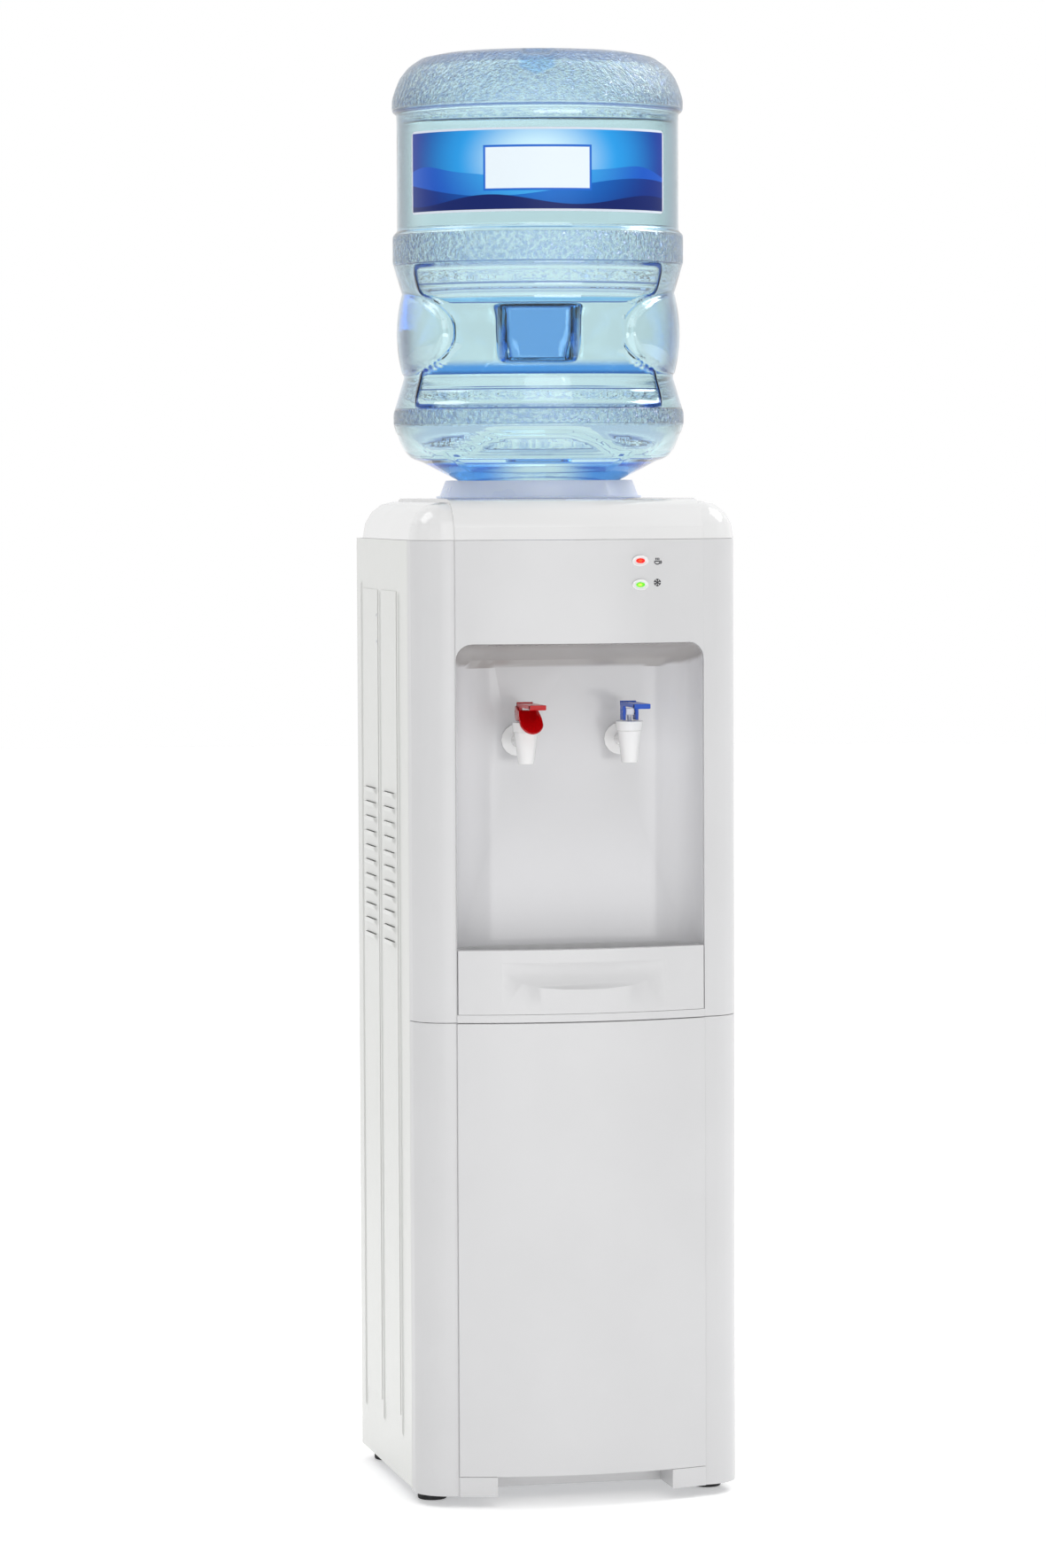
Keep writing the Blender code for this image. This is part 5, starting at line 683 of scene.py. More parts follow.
def settled(draft):
    """A plain mesh of an object with its modifiers applied. The object goes."""
    evaluated = draft.evaluated_get(bpy.context.evaluated_depsgraph_get())
    mesh = bpy.data.meshes.new_from_object(evaluated)
    bpy.data.objects.remove(draft)
    return mesh


def opened(*meshes):
    """All these meshes in one, open for editing."""
    draft = bmesh.new()
    for mesh in meshes:
        draft.from_mesh(mesh)
    return draft


def written(draft, mesh):
    """Closes an edited mesh."""
    draft.to_mesh(mesh)
    draft.free()
    return mesh


def merged(name, meshes):
    return written(opened(*meshes), bpy.data.meshes.new(name))


def guide(name, points):
    """An object of points in a chain, for a rule to read."""
    mesh = bpy.data.meshes.new(name)
    mesh.from_pydata([tuple(p) for p in points], [(k, k + 1) for k in range(len(points) - 1)], [])
    return linked(name, mesh)


def cleared(*things):
    for thing in things:
        bpy.data.objects.remove(thing)


def finished(mesh, smooth=35, break_width=0.0, thickness=0.0, side=-1.0, weighted=False):
    """A plain mesh with a wall, broken edges and smooth shading put on it. smooth is in degrees."""
    mesh.shade_smooth()
    mesh.set_sharp_from_angle(angle=math.radians(smooth))
    modifiers = []
    if thickness:
        modifiers.append(("SOLIDIFY", {"thickness": thickness, "offset": side}))
    if break_width:
        modifiers.append(("BEVEL", {"width": break_width, "segments": 3, "limit_method": "ANGLE",
                                    "angle_limit": math.radians(smooth)}))
    if weighted:
        modifiers.append(("WEIGHTED_NORMAL", {"keep_sharp": True}))
    draft = linked("draft", mesh)
    for kind, settings in modifiers:
        modifier = draft.modifiers.new(kind, kind)
        for name, setting in settings.items():
            setattr(modifier, name, setting)
    return settled(draft)


def add_piece(name, mesh, finish, node, replaced=True, **shaping):
    """Shows a finished mesh as a piece in a CAD node's place, or else as one that rides with it."""
    mesh = finished(mesh, **shaping)
    piece = linked(name, mesh)
    mesh.materials.clear()
    mesh.materials.append(FINISHES[finish])
    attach(piece, BODY_OF[node])
    if replaced:
        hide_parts(node)


def matching(patterns):
    return [node for pattern in patterns.split() for node in NODES if fnmatch(node, pattern)]


def finish_nodes():
    """Puts its finish on every CAD node, hidden ones too."""
    for finish, nodes in (BARE | {finish: row[-1] for finish, row in SKINNED.items()}).items():
        for node in matching(nodes):
            mesh = NODES[node].data
            mesh.materials.clear()
            mesh.materials.append(FINISHES[finish])


def dress(node, finish, break_width, smooth):
    """Stands a merged, smooth-shaded copy with broken edges in the place of a CAD node."""
    mesh = NODES[node].data.copy()
    draft = opened(mesh)
    bmesh.ops.remove_doubles(draft, verts=draft.verts, dist=0.00002)
    bmesh.ops.dissolve_limit(draft, angle_limit=math.radians(0.6), verts=draft.verts,
                             edges=draft.edges)
    add_piece(node + "_skin", written(draft, mesh), finish, node, smooth=smooth,
              break_width=break_width, weighted=True)


def rows_mesh(name, rows, wrap=True, caps=True):
    """A mesh through rows of points of equal count, closed round each row and at both ends."""
    draft = bmesh.new()
    grid = [[draft.verts.new(point) for point in row] for row in rows]
    count = len(grid[0])
    for first, second in zip(grid, grid[1:]):
        for k in range(count if wrap else count - 1):
            after = (k + 1) % count
            draft.faces.new((first[k], first[after], second[after], second[k]))
    if caps:
        draft.faces.new(list(reversed(grid[0])))
        draft.faces.new(grid[-1])
    bmesh.ops.remove_doubles(draft, verts=draft.verts, dist=0.000005)
    bmesh.ops.recalc_face_normals(draft, faces=draft.faces)
    return written(draft, bpy.data.meshes.new(name))


def arc(centre, radius, start, end, steps):
    """Points on an arc between two angles in degrees."""
    angles = [math.radians(start + (end - start) * k / steps) for k in range(steps + 1)]
    return [(centre[0] + radius * math.cos(a), centre[1] + radius * math.sin(a)) for a in angles]


def across_plate(name, outline, low, high):
    """A solid plate from an outline of (y, z) points, between two places along x."""
    return rows_mesh(name, [[(x, y, z) for y, z in outline] for x in (low, high)])


# ---------------- camera, light, floor

def place_camera():
    data = bpy.data.cameras.new("view")
    data.lens = LENS
    data.clip_end = 60.0
    camera = linked("view", data)
    yaw, pitch, roll = CAMERA_TURN
    turn = Matrix.Translation(CAMERA_PLACE)
    for angle, axis in ((-yaw, "Z"), (math.pi / 2 + pitch, "X"), (roll, "Z")):
        turn = turn @ Matrix.Rotation(angle, 4, axis)
    camera.matrix_world = turn
    bpy.context.scene.camera = camera


def light_studio():
    """Soft light from over and behind, softboxes, and a white ground behind the object."""
    scene = bpy.context.scene
    scene.view_settings.view_transform = "Standard"
    scene.view_settings.look = "None"
    scene.world = bpy.data.worlds.new("studio")
    scene.world.use_nodes = True
    tree = Tree(scene.world.node_tree)
    tree.tree.nodes.clear()
    _, y, z = tree.xyz(tree.node("ShaderNodeTexCoord", output="Generated"))
    level = 0.28 + y.ramp(0.15, 0.75) * 0.68 + z.ramp(0.25, 0.95) * 0.52
    ground = tree.node("ShaderNodeLightPath", output="Is Camera Ray")
    inputs = {"Color": grey(1.0), "Strength": level + (1.0 - level) * ground}
    tree.end("ShaderNodeOutputWorld", tree.node("ShaderNodeBackground", None, inputs))
    for name, (place, target, size, power) in SOFTBOXES.items():
        data = bpy.data.lights.new(name, "AREA")
        data.shape = "RECTANGLE"
        data.size, data.size_y = size
        data.energy = power
        lamp = linked(name, data)
        lamp.location = place
        lamp.rotation_euler = (Vector(target) - Vector(place)).to_track_quat("-Z", "Y").to_euler()


def lay_floor():
    draft = bmesh.new()
    bmesh.ops.create_circle(draft, cap_ends=True, segments=96, radius=FLOOR_RADIUS)
    floor = linked("floor", written(draft, bpy.data.meshes.new("floor")))
    floor.data.materials.append(FINISHES["floor"])


# ---------------- the bottle

def soft_run(corners, step=0.0006, spread=0.0012):
    """A run of points along straight pieces between corners, softened as blown plastic is."""
    corners = np.array(corners, float)
    legs = np.hypot(*np.diff(corners, axis=0).T)
    along = np.concatenate([[0.0], np.cumsum(legs)])
    places = np.linspace(0.0, along[-1], int(along[-1] / step))
    run = np.stack([np.interp(places, along, corners[:, k]) for k in (0, 1)], 1)
    reach = int(3 * spread / step)
    weights = np.exp(-0.5 * (np.arange(-reach, reach + 1) * step / spread) ** 2)
    weights /= weights.sum()
    padded = np.concatenate([np.repeat(run[:1], reach, 0), run, np.repeat(run[-1:], reach, 0)])
    soft = np.stack([np.convolve(padded[:, k], weights, "valid") for k in (0, 1)], 1)
    soft[0], soft[-1] = run[0], run[-1]
    return soft


def bottle_corners(inset):
    """Profile of the bottle from the middle of its base, which is on top, down to its mouth."""
    radii = (BOTTLE_RADIUS, LABEL_RADIUS, WAIST_RADIUS, SHOULDER_RADIUS, NECK_RADIUS)
    radius, label, waist, shoulder, neck = (r - inset for r in radii)
    points = [(r, TOP_Z - drop - inset) for r, drop in DIMPLE]
    points += [(r - inset * r / radius, TOP_Z - drop - inset * (1 - r / 0.16)) for r, drop in CROWN]
    levels = ((radius, (CROWN_FOOT, CROWN_SIDE)), (label, LABEL_FIELD), (radius, HIGH_BAND),
              (waist, WAIST), (radius, LOW_BAND))
    for r, (low, high) in levels:
        points += [(r, high), (r, low)]
    points += [(radius - loss, z) for loss, z in SHOULDER]
    return points + [(shoulder, SHOULDER_Z), (neck, NECK_Z), (neck, MOUTH_Z)]


def spaced(run, finer=1.0):
    """Picks points along a profile: close at its creases, less so at the waist, widest behind the
    label and near the mouth."""
    picked = [run[0]]
    for point in run[1:]:
        r, z = point
        step = 0.0055
        if r > 0.1:
            step = 0.0030
            if FRAME_LOW - 0.0010 < z < FRAME_HIGH + 0.0015:
                step = 0.0021
            if any(abs(z - mark) < 0.0035 for mark in BOTTLE_MARKS):
                step = 0.0012
            if LABEL_FIELD[0] + 0.0038 < z < LABEL_FIELD[1] - 0.0028:
                step = 0.0070
        if math.dist(point, picked[-1]) >= step / finer:
            picked.append(point)
    picked.append(run[-1])
    return picked


def turn_angles():
    """Angles round the bottle from its back: close at the frames' uprights, grip and notch."""
    angles = [-180.0]
    while angles[-1] < 180.0 - 0.01:
        at = abs(angles[-1])
        step = 2.6
        if 37.0 <= at <= 61.5:
            step = 0.52
        elif at > 166.0 or at < 12.0:
            step = 1.3
        angles.append(min(180.0, angles[-1] + step))
    return [math.radians(a) for a in angles]


def bottle_rule():
    """Turns a profile round, and presses the pads, frames, grip, arches and notch into it."""
    t = Rule("bottle_rule", profile="Object", turns="Object", rings="Int", columns="Int",
             inset="Float", finish="Material")
    rings, columns, inset = (t.given[label] for label in ("rings", "columns", "inset"))
    grid = t.step("MeshGrid", Size_X=1.0, Size_Y=1.0, Vertices_X=columns, Vertices_Y=rings)
    place = t.step("InputPosition")
    u, v, _ = t.xyz(place)

    def looked_up(label, index):
        """The x, y and z of one point of a guide."""
        settings = {"data_type": "FLOAT_VECTOR", "domain": "POINT"}
        return t.xyz(t.step("SampleIndex", settings, Geometry=t.shape(label), Value=place,
                            Index=index.rounded()))

    turn = looked_up("turns", (u + 0.5) * (columns - 1))[0]
    radius, _, z = looked_up("profile", (v + 0.5) * (rings - 1))
    wall = radius.ramp(0.100, 0.115)
    # Side pads
    side = abs(abs(turn) - math.pi / 2) * LABEL_RADIUS
    level = abs(z - PAD_MIDDLE) / PAD_HALF_HEIGHT
    pad = ((side / PAD_HALF_LENGTH) ** PAD_POWER + level ** PAD_POWER) ** (1 / PAD_POWER)
    crest = (WAIST_RADIUS + PAD_RISE - inset) - level ** 2.0 * (PAD_RISE * 0.72)
    radius = radius + (crest - radius).most(0.0) * pad.ramp(1.07, 0.99) * wall
    # Raised frames round the front and back windows, and the creases in those
    folded = abs(turn).least(math.pi - abs(turn))
    inside = (FRAME_ANGLE - folded) * LABEL_RADIUS + RIB_MIDDLE
    inside = inside.softly_least((pad - 1.12) * 0.06, 0.010)
    inside = inside.softly_least((FRAME_HIGH - z).least(z - FRAME_LOW), 0.017)
    rib = inside.hump(RIB_MIDDLE, 0.0026)
    radius = radius + rib * RIB_RISE
    for crease in CREASES:
        radius = radius - z.hump(crease, 0.0022) * inside.ramp(0.004, 0.008) * 0.0006
    # Grip pocket at the back
    aside = (math.pi - abs(turn)) * 0.118
    upward = z - GRIP_MIDDLE
    pocket = (aside - (GRIP_HALF_WIDTH + upward * 0.05)).ramp(0.0024, -0.0024)
    pocket = pocket * abs(upward).ramp(GRIP_HALF_HEIGHT + 0.0020, GRIP_HALF_HEIGHT - 0.0010) * wall
    radius = radius - pocket * (GRIP_DEPTH - aside ** 2.0 * 3.3)
    turn = turn * (1.0 - pocket * (math.pi / abs(turn).most(0.01) - 1.0) * 0.64)
    # Shoulder arches, deep at the front and back
    fold = ((turn + math.pi * 2.25) * (2 / math.pi)).fraction()
    fold = abs(fold - 0.5) * (math.pi / 2)
    arch = ARCH_Z - fold.ramp(math.radians(10), math.radians(44)) * ARCH_FALL
    facing = (turn.cos() ** 2.0).ramp(0.48, 0.56)
    pressed = (arch - z).ramp(0.0, 0.0028) * z.ramp(0.957, 0.969)
    radius = radius - pressed * (facing * 0.0036 + 0.0008)
    # Notch in the crown's front
    front = abs(turn) * 0.125
    dent = front.ramp(0.0175, 0.0150) * (z - NOTCH_Z - front * NOTCH_SLOPE).ramp(0.0, 0.0014)
    dent = dent * radius.ramp(0.085, 0.095)
    z = z - dent * radius.ramp(0.120, 0.105) * 0.0030
    radius = radius - dent * 0.0028
    spot = t.vector(radius * turn.sin(), radius * turn.cos() * -1.0, z)
    spot = t.node("ShaderNodeVectorRotate", {"rotation_type": "Z_AXIS"},
                  {"Vector": spot, "Angle": BOTTLE_TURN})
    spot = t.node("ShaderNodeVectorMath", {"operation": "ADD"}, {0: spot, 1: (0.0, AXIS_Y, 0.0)})
    settings = {"data_type": "FLOAT", "domain": "POINT"}
    made = t.step("StoreNamedAttribute", settings, Geometry=grid, Name="rib", Value=rib)
    made = t.step("SetPosition", Geometry=made, Position=spot)
    t.close(t.step("MergeByDistance", Geometry=made, Distance=0.00002))
    return t


def upright(mesh, closed=True):
    """Turns every face of a mesh outwards and closes its ends."""
    draft = opened(mesh)
    bmesh.ops.remove_doubles(draft, verts=draft.verts, dist=0.00001)
    if closed:
        bmesh.ops.holes_fill(draft, edges=[e for e in draft.edges if e.is_boundary], sides=0)
    bmesh.ops.recalc_face_normals(draft, faces=draft.faces)
    written(draft, mesh).shade_smooth()
    return mesh


def make_bottle():
    """The blown shell, and the water that it holds."""
    rule = bottle_rule()
    angles = turn_angles()
    turns = guide("bottle_turns", [(angle, 0.0, 0.0) for angle in angles])

    def blown(name, run, finish, inset):
        profile = guide(name + "_profile", [(r, 0.0, z) for r, z in run])
        mesh = rule.grow(name, profile=profile, turns=turns, rings=len(run), columns=len(angles),
                         inset=inset, finish=FINISHES[finish])
        cleared(profile)
        return mesh

    shell = blown("bottle_outside", spaced(soft_run(bottle_corners(0.0))), "bottle", 0.0)
    add_piece("bottle_shell", upright(shell, closed=False), "bottle", "bottle", smooth=180,
              thickness=BOTTLE_WALL)
    deep = BOTTLE_WALL + WATER_GAP
    run = spaced(soft_run(bottle_corners(deep)), 0.8)
    run = [(max(r, 0.0), z) for r, z in run if MOUTH_Z + 0.034 < z < TOP_Z - WATER_DROP]
    run = [(0.0, run[0][1])] + run + [(0.0, run[-1][1])]
    body = upright(blown("water_body", run, "water", deep))
    add_piece("bottle_water", body, "water", "bottle", replaced=False, smooth=180)
    cleared(turns)


def make_label():
    """Curved film round the bottle's front, with round corners and its own wrap coordinates."""
    low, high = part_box("bottle_label")
    tall = high.z - low.z
    radius = LABEL_RADIUS + LABEL_GAP
    columns = 96
    rises = [LABEL_CORNER * (1 - math.cos(math.radians(15 * k))) for k in range(6)]
    rises += [LABEL_CORNER + (tall - 2 * LABEL_CORNER) * k / 10 for k in range(11)]
    rises += [tall - rise for rise in reversed(rises[:6])]
    draft = bmesh.new()
    wrap = draft.loops.layers.uv.new("wrap")
    grid = []
    for rise in rises:
        over = max(0.0, LABEL_CORNER - rise, rise - (tall - LABEL_CORNER))
        drawn_in = (LABEL_CORNER - math.sqrt(max(0.0, LABEL_CORNER ** 2 - over ** 2))) / radius
        half = LABEL_HALF_ANGLE - drawn_in
        line = []
        for i in range(columns + 1):
            angle = -half + 2 * half * i / columns
            spot = Matrix.Rotation(BOTTLE_TURN + angle, 3, "Z") @ Vector((0, -radius, 0))
            spot += Vector((0, AXIS_Y, low.z + rise))
            line.append((draft.verts.new(spot), ((angle / LABEL_HALF_ANGLE + 1) / 2, rise / tall)))
        grid.append(line)
    for lower, upper in zip(grid, grid[1:]):
        for i in range(columns):
            corners = (lower[i], lower[i + 1], upper[i + 1], upper[i])
            face = draft.faces.new([vert for vert, uv in corners])
            for loop, (vert, uv) in zip(face.loops, corners):
                loop[wrap].uv = uv
    mesh = written(draft, bpy.data.meshes.new("label"))
    add_piece("bottle_label_film", mesh, "label", "bottle_label", thickness=LABEL_FILM, side=1.0)


# ---------------- lamps and pictograms

def on_bow(x, z, proud):
    """A point on the bowed front, or a little proud of it."""
    lean = math.asin(x / BOW_RADIUS)
    reach = BOW_RADIUS + proud
    return Vector((reach * math.sin(lean), BOW_Y + BOW_RADIUS - reach * math.cos(lean), z))


def make_bezels():
    """Two white oval dishes that the lamps' lenses stand in."""
    # Half width, half height and rise of each ring
    rings = [(0.0080, 0.0052, 0.0), (0.0080, 0.0052, 0.0009), (0.0077, 0.0049, 0.0014),
             (0.0073, 0.0045, 0.0015), (0.0067, 0.0039, 0.0012), (0.0058, 0.0032, 0.0009),
             (0.0046, 0.0026, 0.00085)]
    circle = arc((0, 0), 1.0, 0, 345, 23)
    meshes = []
    for node in ("indicator_lamp_hot", "indicator_lamp_cold"):
        height = middle(node).z
        rows = [[on_bow(LAMP_X + u * wide, height + v * tall, proud) for u, v in circle]
                for wide, tall, proud in rings]
        meshes.append(rows_mesh(node, rows))
    mesh = merged("lamp_bezels", meshes)
    add_piece("lamp_bezels", mesh, "tap", "upper_front_panel", replaced=False, smooth=60)


def strokes(name, lines, width):
    """Flat ink lines along runs of (x, z) points on the bowed front."""
    meshes = []
    for line in lines:
        closed = line[0] == line[-1]
        rows = []
        for k, (x, z) in enumerate(line):
            before = line[k - 1] if k else (line[-2] if closed else line[0])
            after = line[k + 1] if k + 1 < len(line) else (line[1] if closed else line[-1])
            along = Vector((after[0] - before[0], after[1] - before[1])).normalized()
            aside = Vector((-along.y, along.x)) * width / 2
            rows.append([on_bow(x + side * aside.x, z + side * aside.y, INK_GAP)
                         for side in (-1, 1)])
        meshes.append(rows_mesh(name, rows, wrap=False, caps=False))
    return meshes


def make_pictograms():
    """A steaming cup beside the upper lamp and a snowflake beside the lower one."""
    x = PICTOGRAM_X
    z = middle("indicator_lamp_hot").z - 0.0006
    bowl = [(x + 0.0028, z)] + arc((x, z), 0.0028, 0, -180, 12)[1:] + [(x + 0.0028, z)]
    handle = arc((x + 0.0030, z - 0.0009), 0.0012, 80, -100, 8)
    steam = [[(x + k * 0.0015 + 0.0002 * math.sin(j), z + 0.0011 + j * 0.0005) for j in range(5)]
             for k in (-1, 0, 1)]
    meshes = strokes("cup", [bowl, handle] + steam, INK_WIDTH)
    z = middle("indicator_lamp_cold").z + 0.0018
    lines = []
    for k in range(6):
        way = Vector((math.cos(math.radians(30 + 60 * k)), math.sin(math.radians(30 + 60 * k))))
        aside = Vector((-way.y, way.x))
        lines.append([(x, z), (x + way.x * 0.0034, z + way.y * 0.0034)])
        barb = [way * 0.0032 + aside * 0.0011, way * 0.0020, way * 0.0032 - aside * 0.0011]
        lines.append([(x + p.x, z + p.y) for p in barb])
    meshes += strokes("flake", lines, INK_WIDTH)
    draft = opened(*meshes)
    for face in draft.faces:
        if face.normal.y > 0:
            face.normal_flip()
    mesh = written(draft, bpy.data.meshes.new("pictograms"))
    add_piece("lamp_pictograms", mesh, "ink", "upper_front_panel", replaced=False,
              thickness=INK_DEPTH, side=1.0)


# ---------------- levers and guard

def make_lever_lips():
    """The turned-down nose and the upturned heel of each lever's plate."""
    nose = ((0.0, -0.0006), (0.0006, 0.0), (0.0042, 0.0), (0.0060, -0.0035), (0.0030, -0.0047),
            (0.0004, -0.0044))
    heel = ((-0.0012, -0.0030), (0.0, -0.0030), (0.0, 0.0010), (-0.0010, 0.0010),
            (-0.0026, -0.0002))
    for side, x in (("hot", -TAP_X), ("cold", TAP_X)):
        low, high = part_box("tap_lever_" + side)
        meshes = []
        for end, outline in ((low.y, nose), (high.y, heel)):
            outline = [(end + y, high.z + z) for y, z in outline]
            meshes.append(across_plate("lip", outline, x - LIP_HALF, x + LIP_HALF))
        add_piece("lever_lips_" + side, merged("lips", meshes), side, "tap_lever_" + side,
                  replaced=False, smooth=40, break_width=0.0004)


def make_guard():
    """Concave clear red tongue in front of the hot cup, hung from ears on the lever's pin."""
    start = Vector((TAP_Y - 0.0095, CUP_TOP + 0.0100))
    end = Vector((TAP_Y - 0.0285, CUP_TOP - 0.0105))
    half, long = GUARD_HALF, (end - start).length
    down = (end - start) / long
    out = Vector((down.y, -down.x))
    forward = out * 0.0009
    runs = [(long - half) * k / 9 for k in range(10)]
    runs += [long - half + half * math.sin(math.radians(9 * k)) for k in range(1, 11)]
    rows = []
    for run in runs:
        past = max(0.0, run - (long - half))
        wide = math.sqrt(max(0.0, half ** 2 - past ** 2))
        wide = max(wide, 0.0004) * (0.86 + 0.14 * min(1.0, run / 0.010))
        row = []
        for share in (-1 + k / 8 for k in range(17)):
            bend = 0.0026 * (share * wide / half) ** 2 * min(1.0, run / 0.014)
            bend += 0.0012 * max(0.0, run / long - 0.6)
            spot = start + down * run + out * bend + forward
            row.append((-TAP_X + share * wide, spot.x, spot.y))
        rows.append(row)
    blade = rows_mesh("blade", rows, wrap=False, caps=False)
    meshes = [finished(blade, smooth=60, thickness=GUARD_WALL, side=0.0)]
    outline = arc((TAP_Y, PIN_Z), EAR_RADIUS, 60, -80, 7)
    outline += [tuple(start + down * long * share + forward) for share in (0.36, 0.06)]
    for near, far in ((-0.0092, -0.0077), (0.0077, 0.0092)):
        ear = across_plate("ear", outline, -TAP_X + near, -TAP_X + far)
        meshes.append(finished(ear, smooth=40, break_width=0.0003))
    add_piece("hot_guard_tongue", merged("guard", meshes), "guard", "hot_lever_guard")


# ---------------- screws, condenser and inlet

def screw_head(radius):
    """A pan head along +y with a cross recess, standing on the plane y = 0."""
    # Share of the radius, rise, and which steps of every six are sunk in the cross
    rings = [(1.0, 0.0, ()), (1.0, 0.16, ()), (0.93, 0.34, ()), (0.74, 0.46, ()),
             (0.52, 0.50, (0,)), (0.34, 0.51, (0, 1, 5)), (0.15, 0.51, (0, 1, 5))]
    rows = []
    for share, rise, cross in rings:
        row = []
        for k in range(24):
            sunk = 0.22 if k % 6 in cross else 0.0
            angle = math.radians(15 * k)
            row.append((radius * share * math.cos(angle), radius * (rise - sunk),
                        radius * share * math.sin(angle)))
        rows.append(row)
    return linked("screw_head", finished(rows_mesh("screw_head", rows), smooth=50))


def screw_rule():
    """Stands a head on each point of a guide, turned the way that side faces."""
    t = Rule("screw_rule", places="Object", head="Object", facing="Float", finish="Material")
    facing = t.vector(z=t.given["facing"])
    twist = t.vector(y=t.step("InputIndex") * 0.9)
    made = t.step("InstanceOnPoints", Points=t.shape("places"), Instance=t.shape("head"),
                  Rotation=facing)
    t.close(t.step("RotateInstances", Instances=made, Rotation=twist), smooth=False)
    return t


def make_screws():
    """Screws of the rear panel, the condenser's brackets and the side panels."""
    rule = screw_rule()
    low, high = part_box("rear_panel")
    face, edge = high.y, high.x - 0.006
    heights = np.linspace(low.z + 0.012, high.z - 0.03, 5)
    rear = [(x, face, z) for x in (-edge, edge) for z in heights]
    for node in ("condenser_bracket_left", "condenser_bracket_right"):
        low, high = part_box(node)
        x = low.x + 0.007 if low.x < 0 else high.x - 0.007
        rear += [(x, face + BRACKET_PLATE, z) for z in (low.z + 0.02, high.z - 0.02)]
    left, right = ([(x, AXIS_Y + y, z) for y, z in SIDE_SCREWS] for x in (-SIDE_X, SIDE_X))
    for name, places, facing, radius in (("rear_screws", rear, 0.0, PAN_HEAD),
                                         ("left_screws", left, math.pi / 2, SMALL_HEAD),
                                         ("right_screws", right, -math.pi / 2, SMALL_HEAD)):
        holder, head = guide(name + "_guide", places), screw_head(radius)
        mesh = rule.grow(name, places=holder, head=head, facing=facing, finish=FINISHES["zinc"])
        add_piece(name, mesh, "zinc", "rear_panel", replaced=False, smooth=50)
        cleared(holder, head)


def eased(points, bend, steps=6):
    """A run with its corners rounded off."""
    points = [Vector(point) for point in points]
    run = [points[0]]
    for before, corner, after in zip(points, points[1:], points[2:]):
        reach = min(bend, (before - corner).length * 0.49, (after - corner).length * 0.49)
        start = corner + (before - corner).normalized() * reach
        end = corner + (after - corner).normalized() * reach
        for share in (k / steps for k in range(steps + 1)):
            run.append(start.lerp(corner, share).lerp(corner.lerp(end, share), share))
    return run + [points[-1]]


def rack_route():
    """The condenser's tube, from the compressor's port to its serpentine and down to the drier."""
    y, half, bend = RACK_Y, RACK_HALF, RACK_PITCH / 2
    top = RACK_FOOT + (RACK_PASSES - 1) * RACK_PITCH
    port_x, _, port_z = COMPRESSOR_PORT
    riser = -half - bend - 4 * RACK_TUBE
    corners = [COMPRESSOR_PORT, (port_x, y, port_z), (riser, y, port_z), (riser, y, top)]
    run = eased(corners + [(-half, y, top)], 0.010)
    for k in range(RACK_PASSES):
        z = top - k * RACK_PITCH
        sign = 1 if k % 2 == 0 else -1
        run += [Vector((-sign * half, y, z)), Vector((sign * half, y, z))]
        run += [Vector((sign * (half + bend * math.cos(a)), y, z - bend + bend * math.sin(a)))
                for a in (math.radians(90 - 15 * step) for step in range(1, 12))]
    foot = RACK_FOOT - RACK_PITCH
    return run + [Vector((half, y, foot)), Vector((half - 0.020, y, foot))]


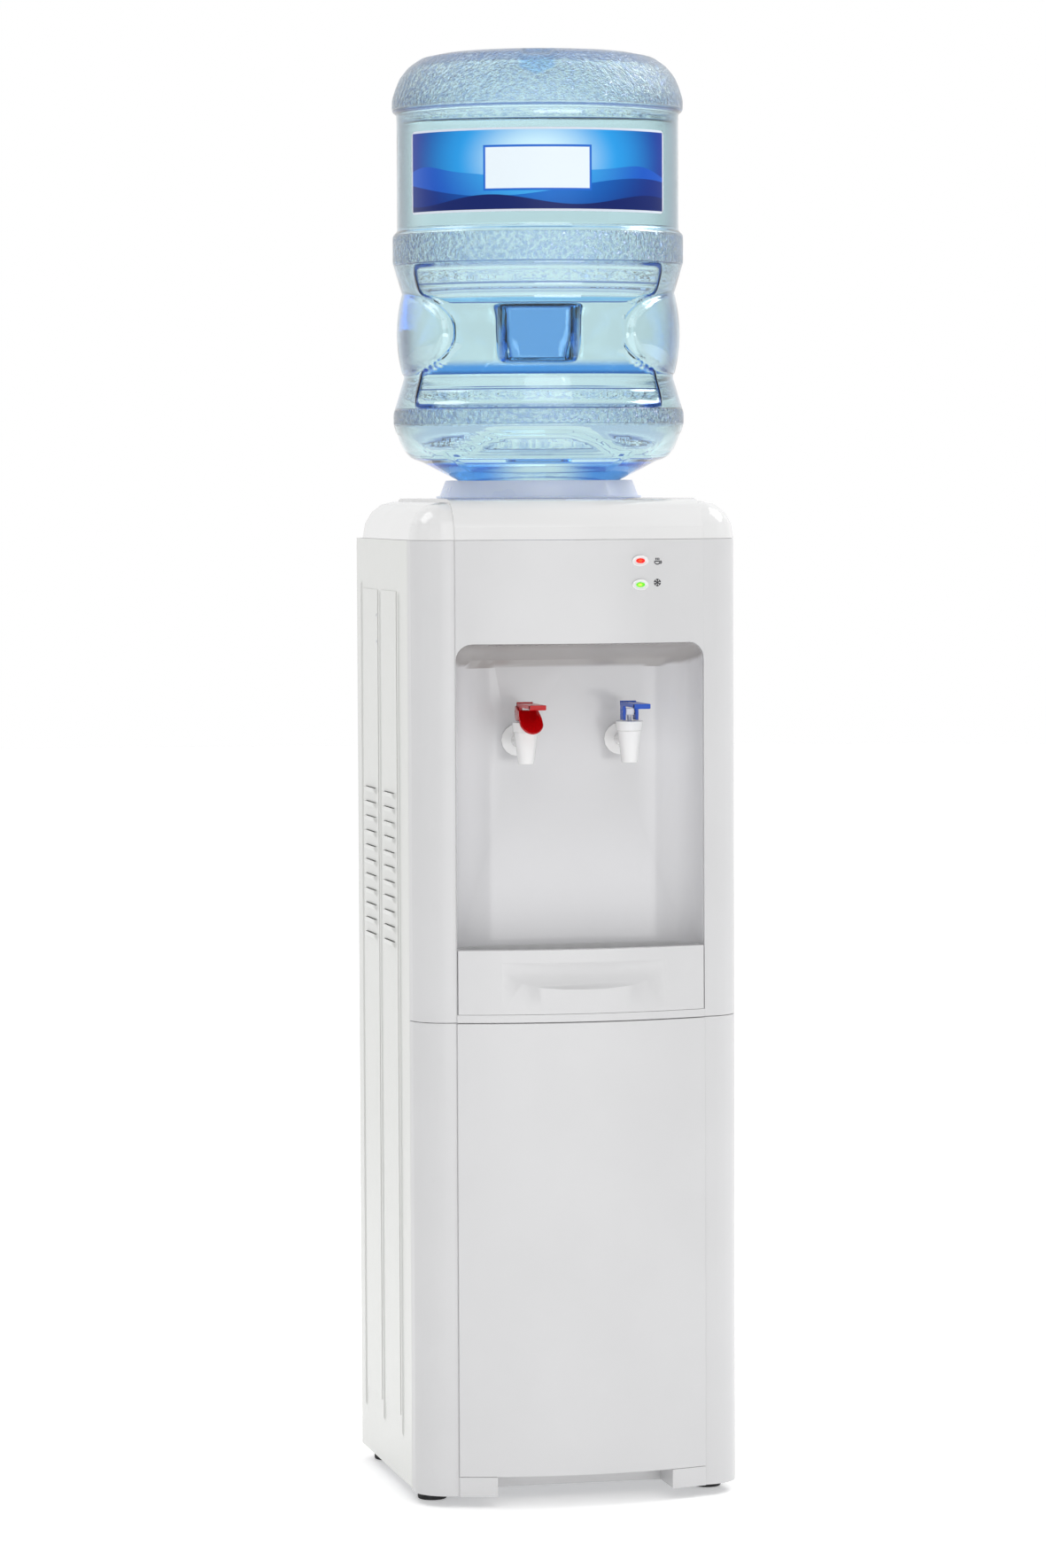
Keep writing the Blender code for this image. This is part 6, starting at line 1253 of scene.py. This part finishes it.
def rack_rule():
    """A round tube along a route, with upright wires on both its sides."""
    t = Rule("rack_rule", route="Object", tube="Float", wire="Float", wires="Int", spacing="Float",
             low="Float", high="Float", depth="Float", finish="Material")
    tube, wire, wires, spacing, low, high, depth = (
        t.given[label] for label in ("tube", "wire", "wires", "spacing", "low", "high", "depth"))
    line = t.step("MeshToCurve", Mesh=t.shape("route"))
    ring = t.step("CurvePrimitiveCircle", {"mode": "RADIUS"}, Resolution=12, Radius=tube)
    parts = [t.step("CurveToMesh", Curve=line, Profile_Curve=ring, Fill_Caps=True)]
    rod = t.step("MeshCylinder", Vertices=8, Radius=wire, Depth=high - low)
    for sign, fewer in ((-1.0, 0), (1.0, 1)):
        count = wires - fewer
        start = t.vector((count - 1) * spacing * -0.5, depth + (tube + wire * 0.6) * sign,
                         (high + low) * 0.5)
        points = t.step("MeshLine", Count=count, Start_Location=start, Offset=t.vector(spacing))
        parts.append(t.step("InstanceOnPoints", Points=points, Instance=rod))
    join = t.tree.nodes.new("GeometryNodeJoinGeometry")
    for part in reversed(parts):
        t.tree.links.new(part.socket, join.inputs[0])
    t.close(Value(t, join.outputs[0]))
    return t


def make_condenser():
    route = guide("rack_route", rack_route())
    mesh = rack_rule().grow(
        "condenser_rack", route=route, tube=RACK_TUBE, wire=RACK_WIRE, wires=RACK_WIRES,
        spacing=2 * (RACK_HALF - 0.011) / (RACK_WIRES - 1), low=RACK_FOOT - RACK_PITCH / 4,
        high=RACK_FOOT + (RACK_PASSES - 0.75) * RACK_PITCH, depth=RACK_Y, finish=FINISHES["enamel"])
    cleared(route)
    add_piece("condenser_rack", mesh, "enamel", "condenser", smooth=40)


def make_inlet_pins():
    """Plated blades over the inlet's three pins."""
    centre = middle("power_inlet")
    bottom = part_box("power_inlet")[1].y - 0.017
    square = ((-1, -1), (1, -1), (1, 1), (-1, 1))
    sizes = ((0.00115, 0.00215, 0.0), (0.00115, 0.00215, 0.0094), (0.0005, 0.0014, 0.0104))
    meshes = []
    for x, z in ((-0.007, -0.002), (0.0, 0.002), (0.007, -0.002)):
        rows = [[(centre.x + x + u * wide, bottom + y, centre.z + z + v * tall) for u, v in square]
                for wide, tall, y in sizes]
        meshes.append(rows_mesh("pin", rows))
    add_piece("inlet_pins", merged("pins", meshes), "brass", "power_inlet", replaced=False,
              smooth=30, break_width=0.0002)


# ---------------- building it

place_camera()
light_studio()
lay_floor()
finish_nodes()
make_bottle()
make_label()
make_bezels()
make_pictograms()
make_guard()
make_lever_lips()
make_screws()
make_condenser()
make_inlet_pins()
for finish, (width, smooth, nodes) in SKINNED.items():
    for node in matching(nodes):
        dress(node, finish, width, smooth)
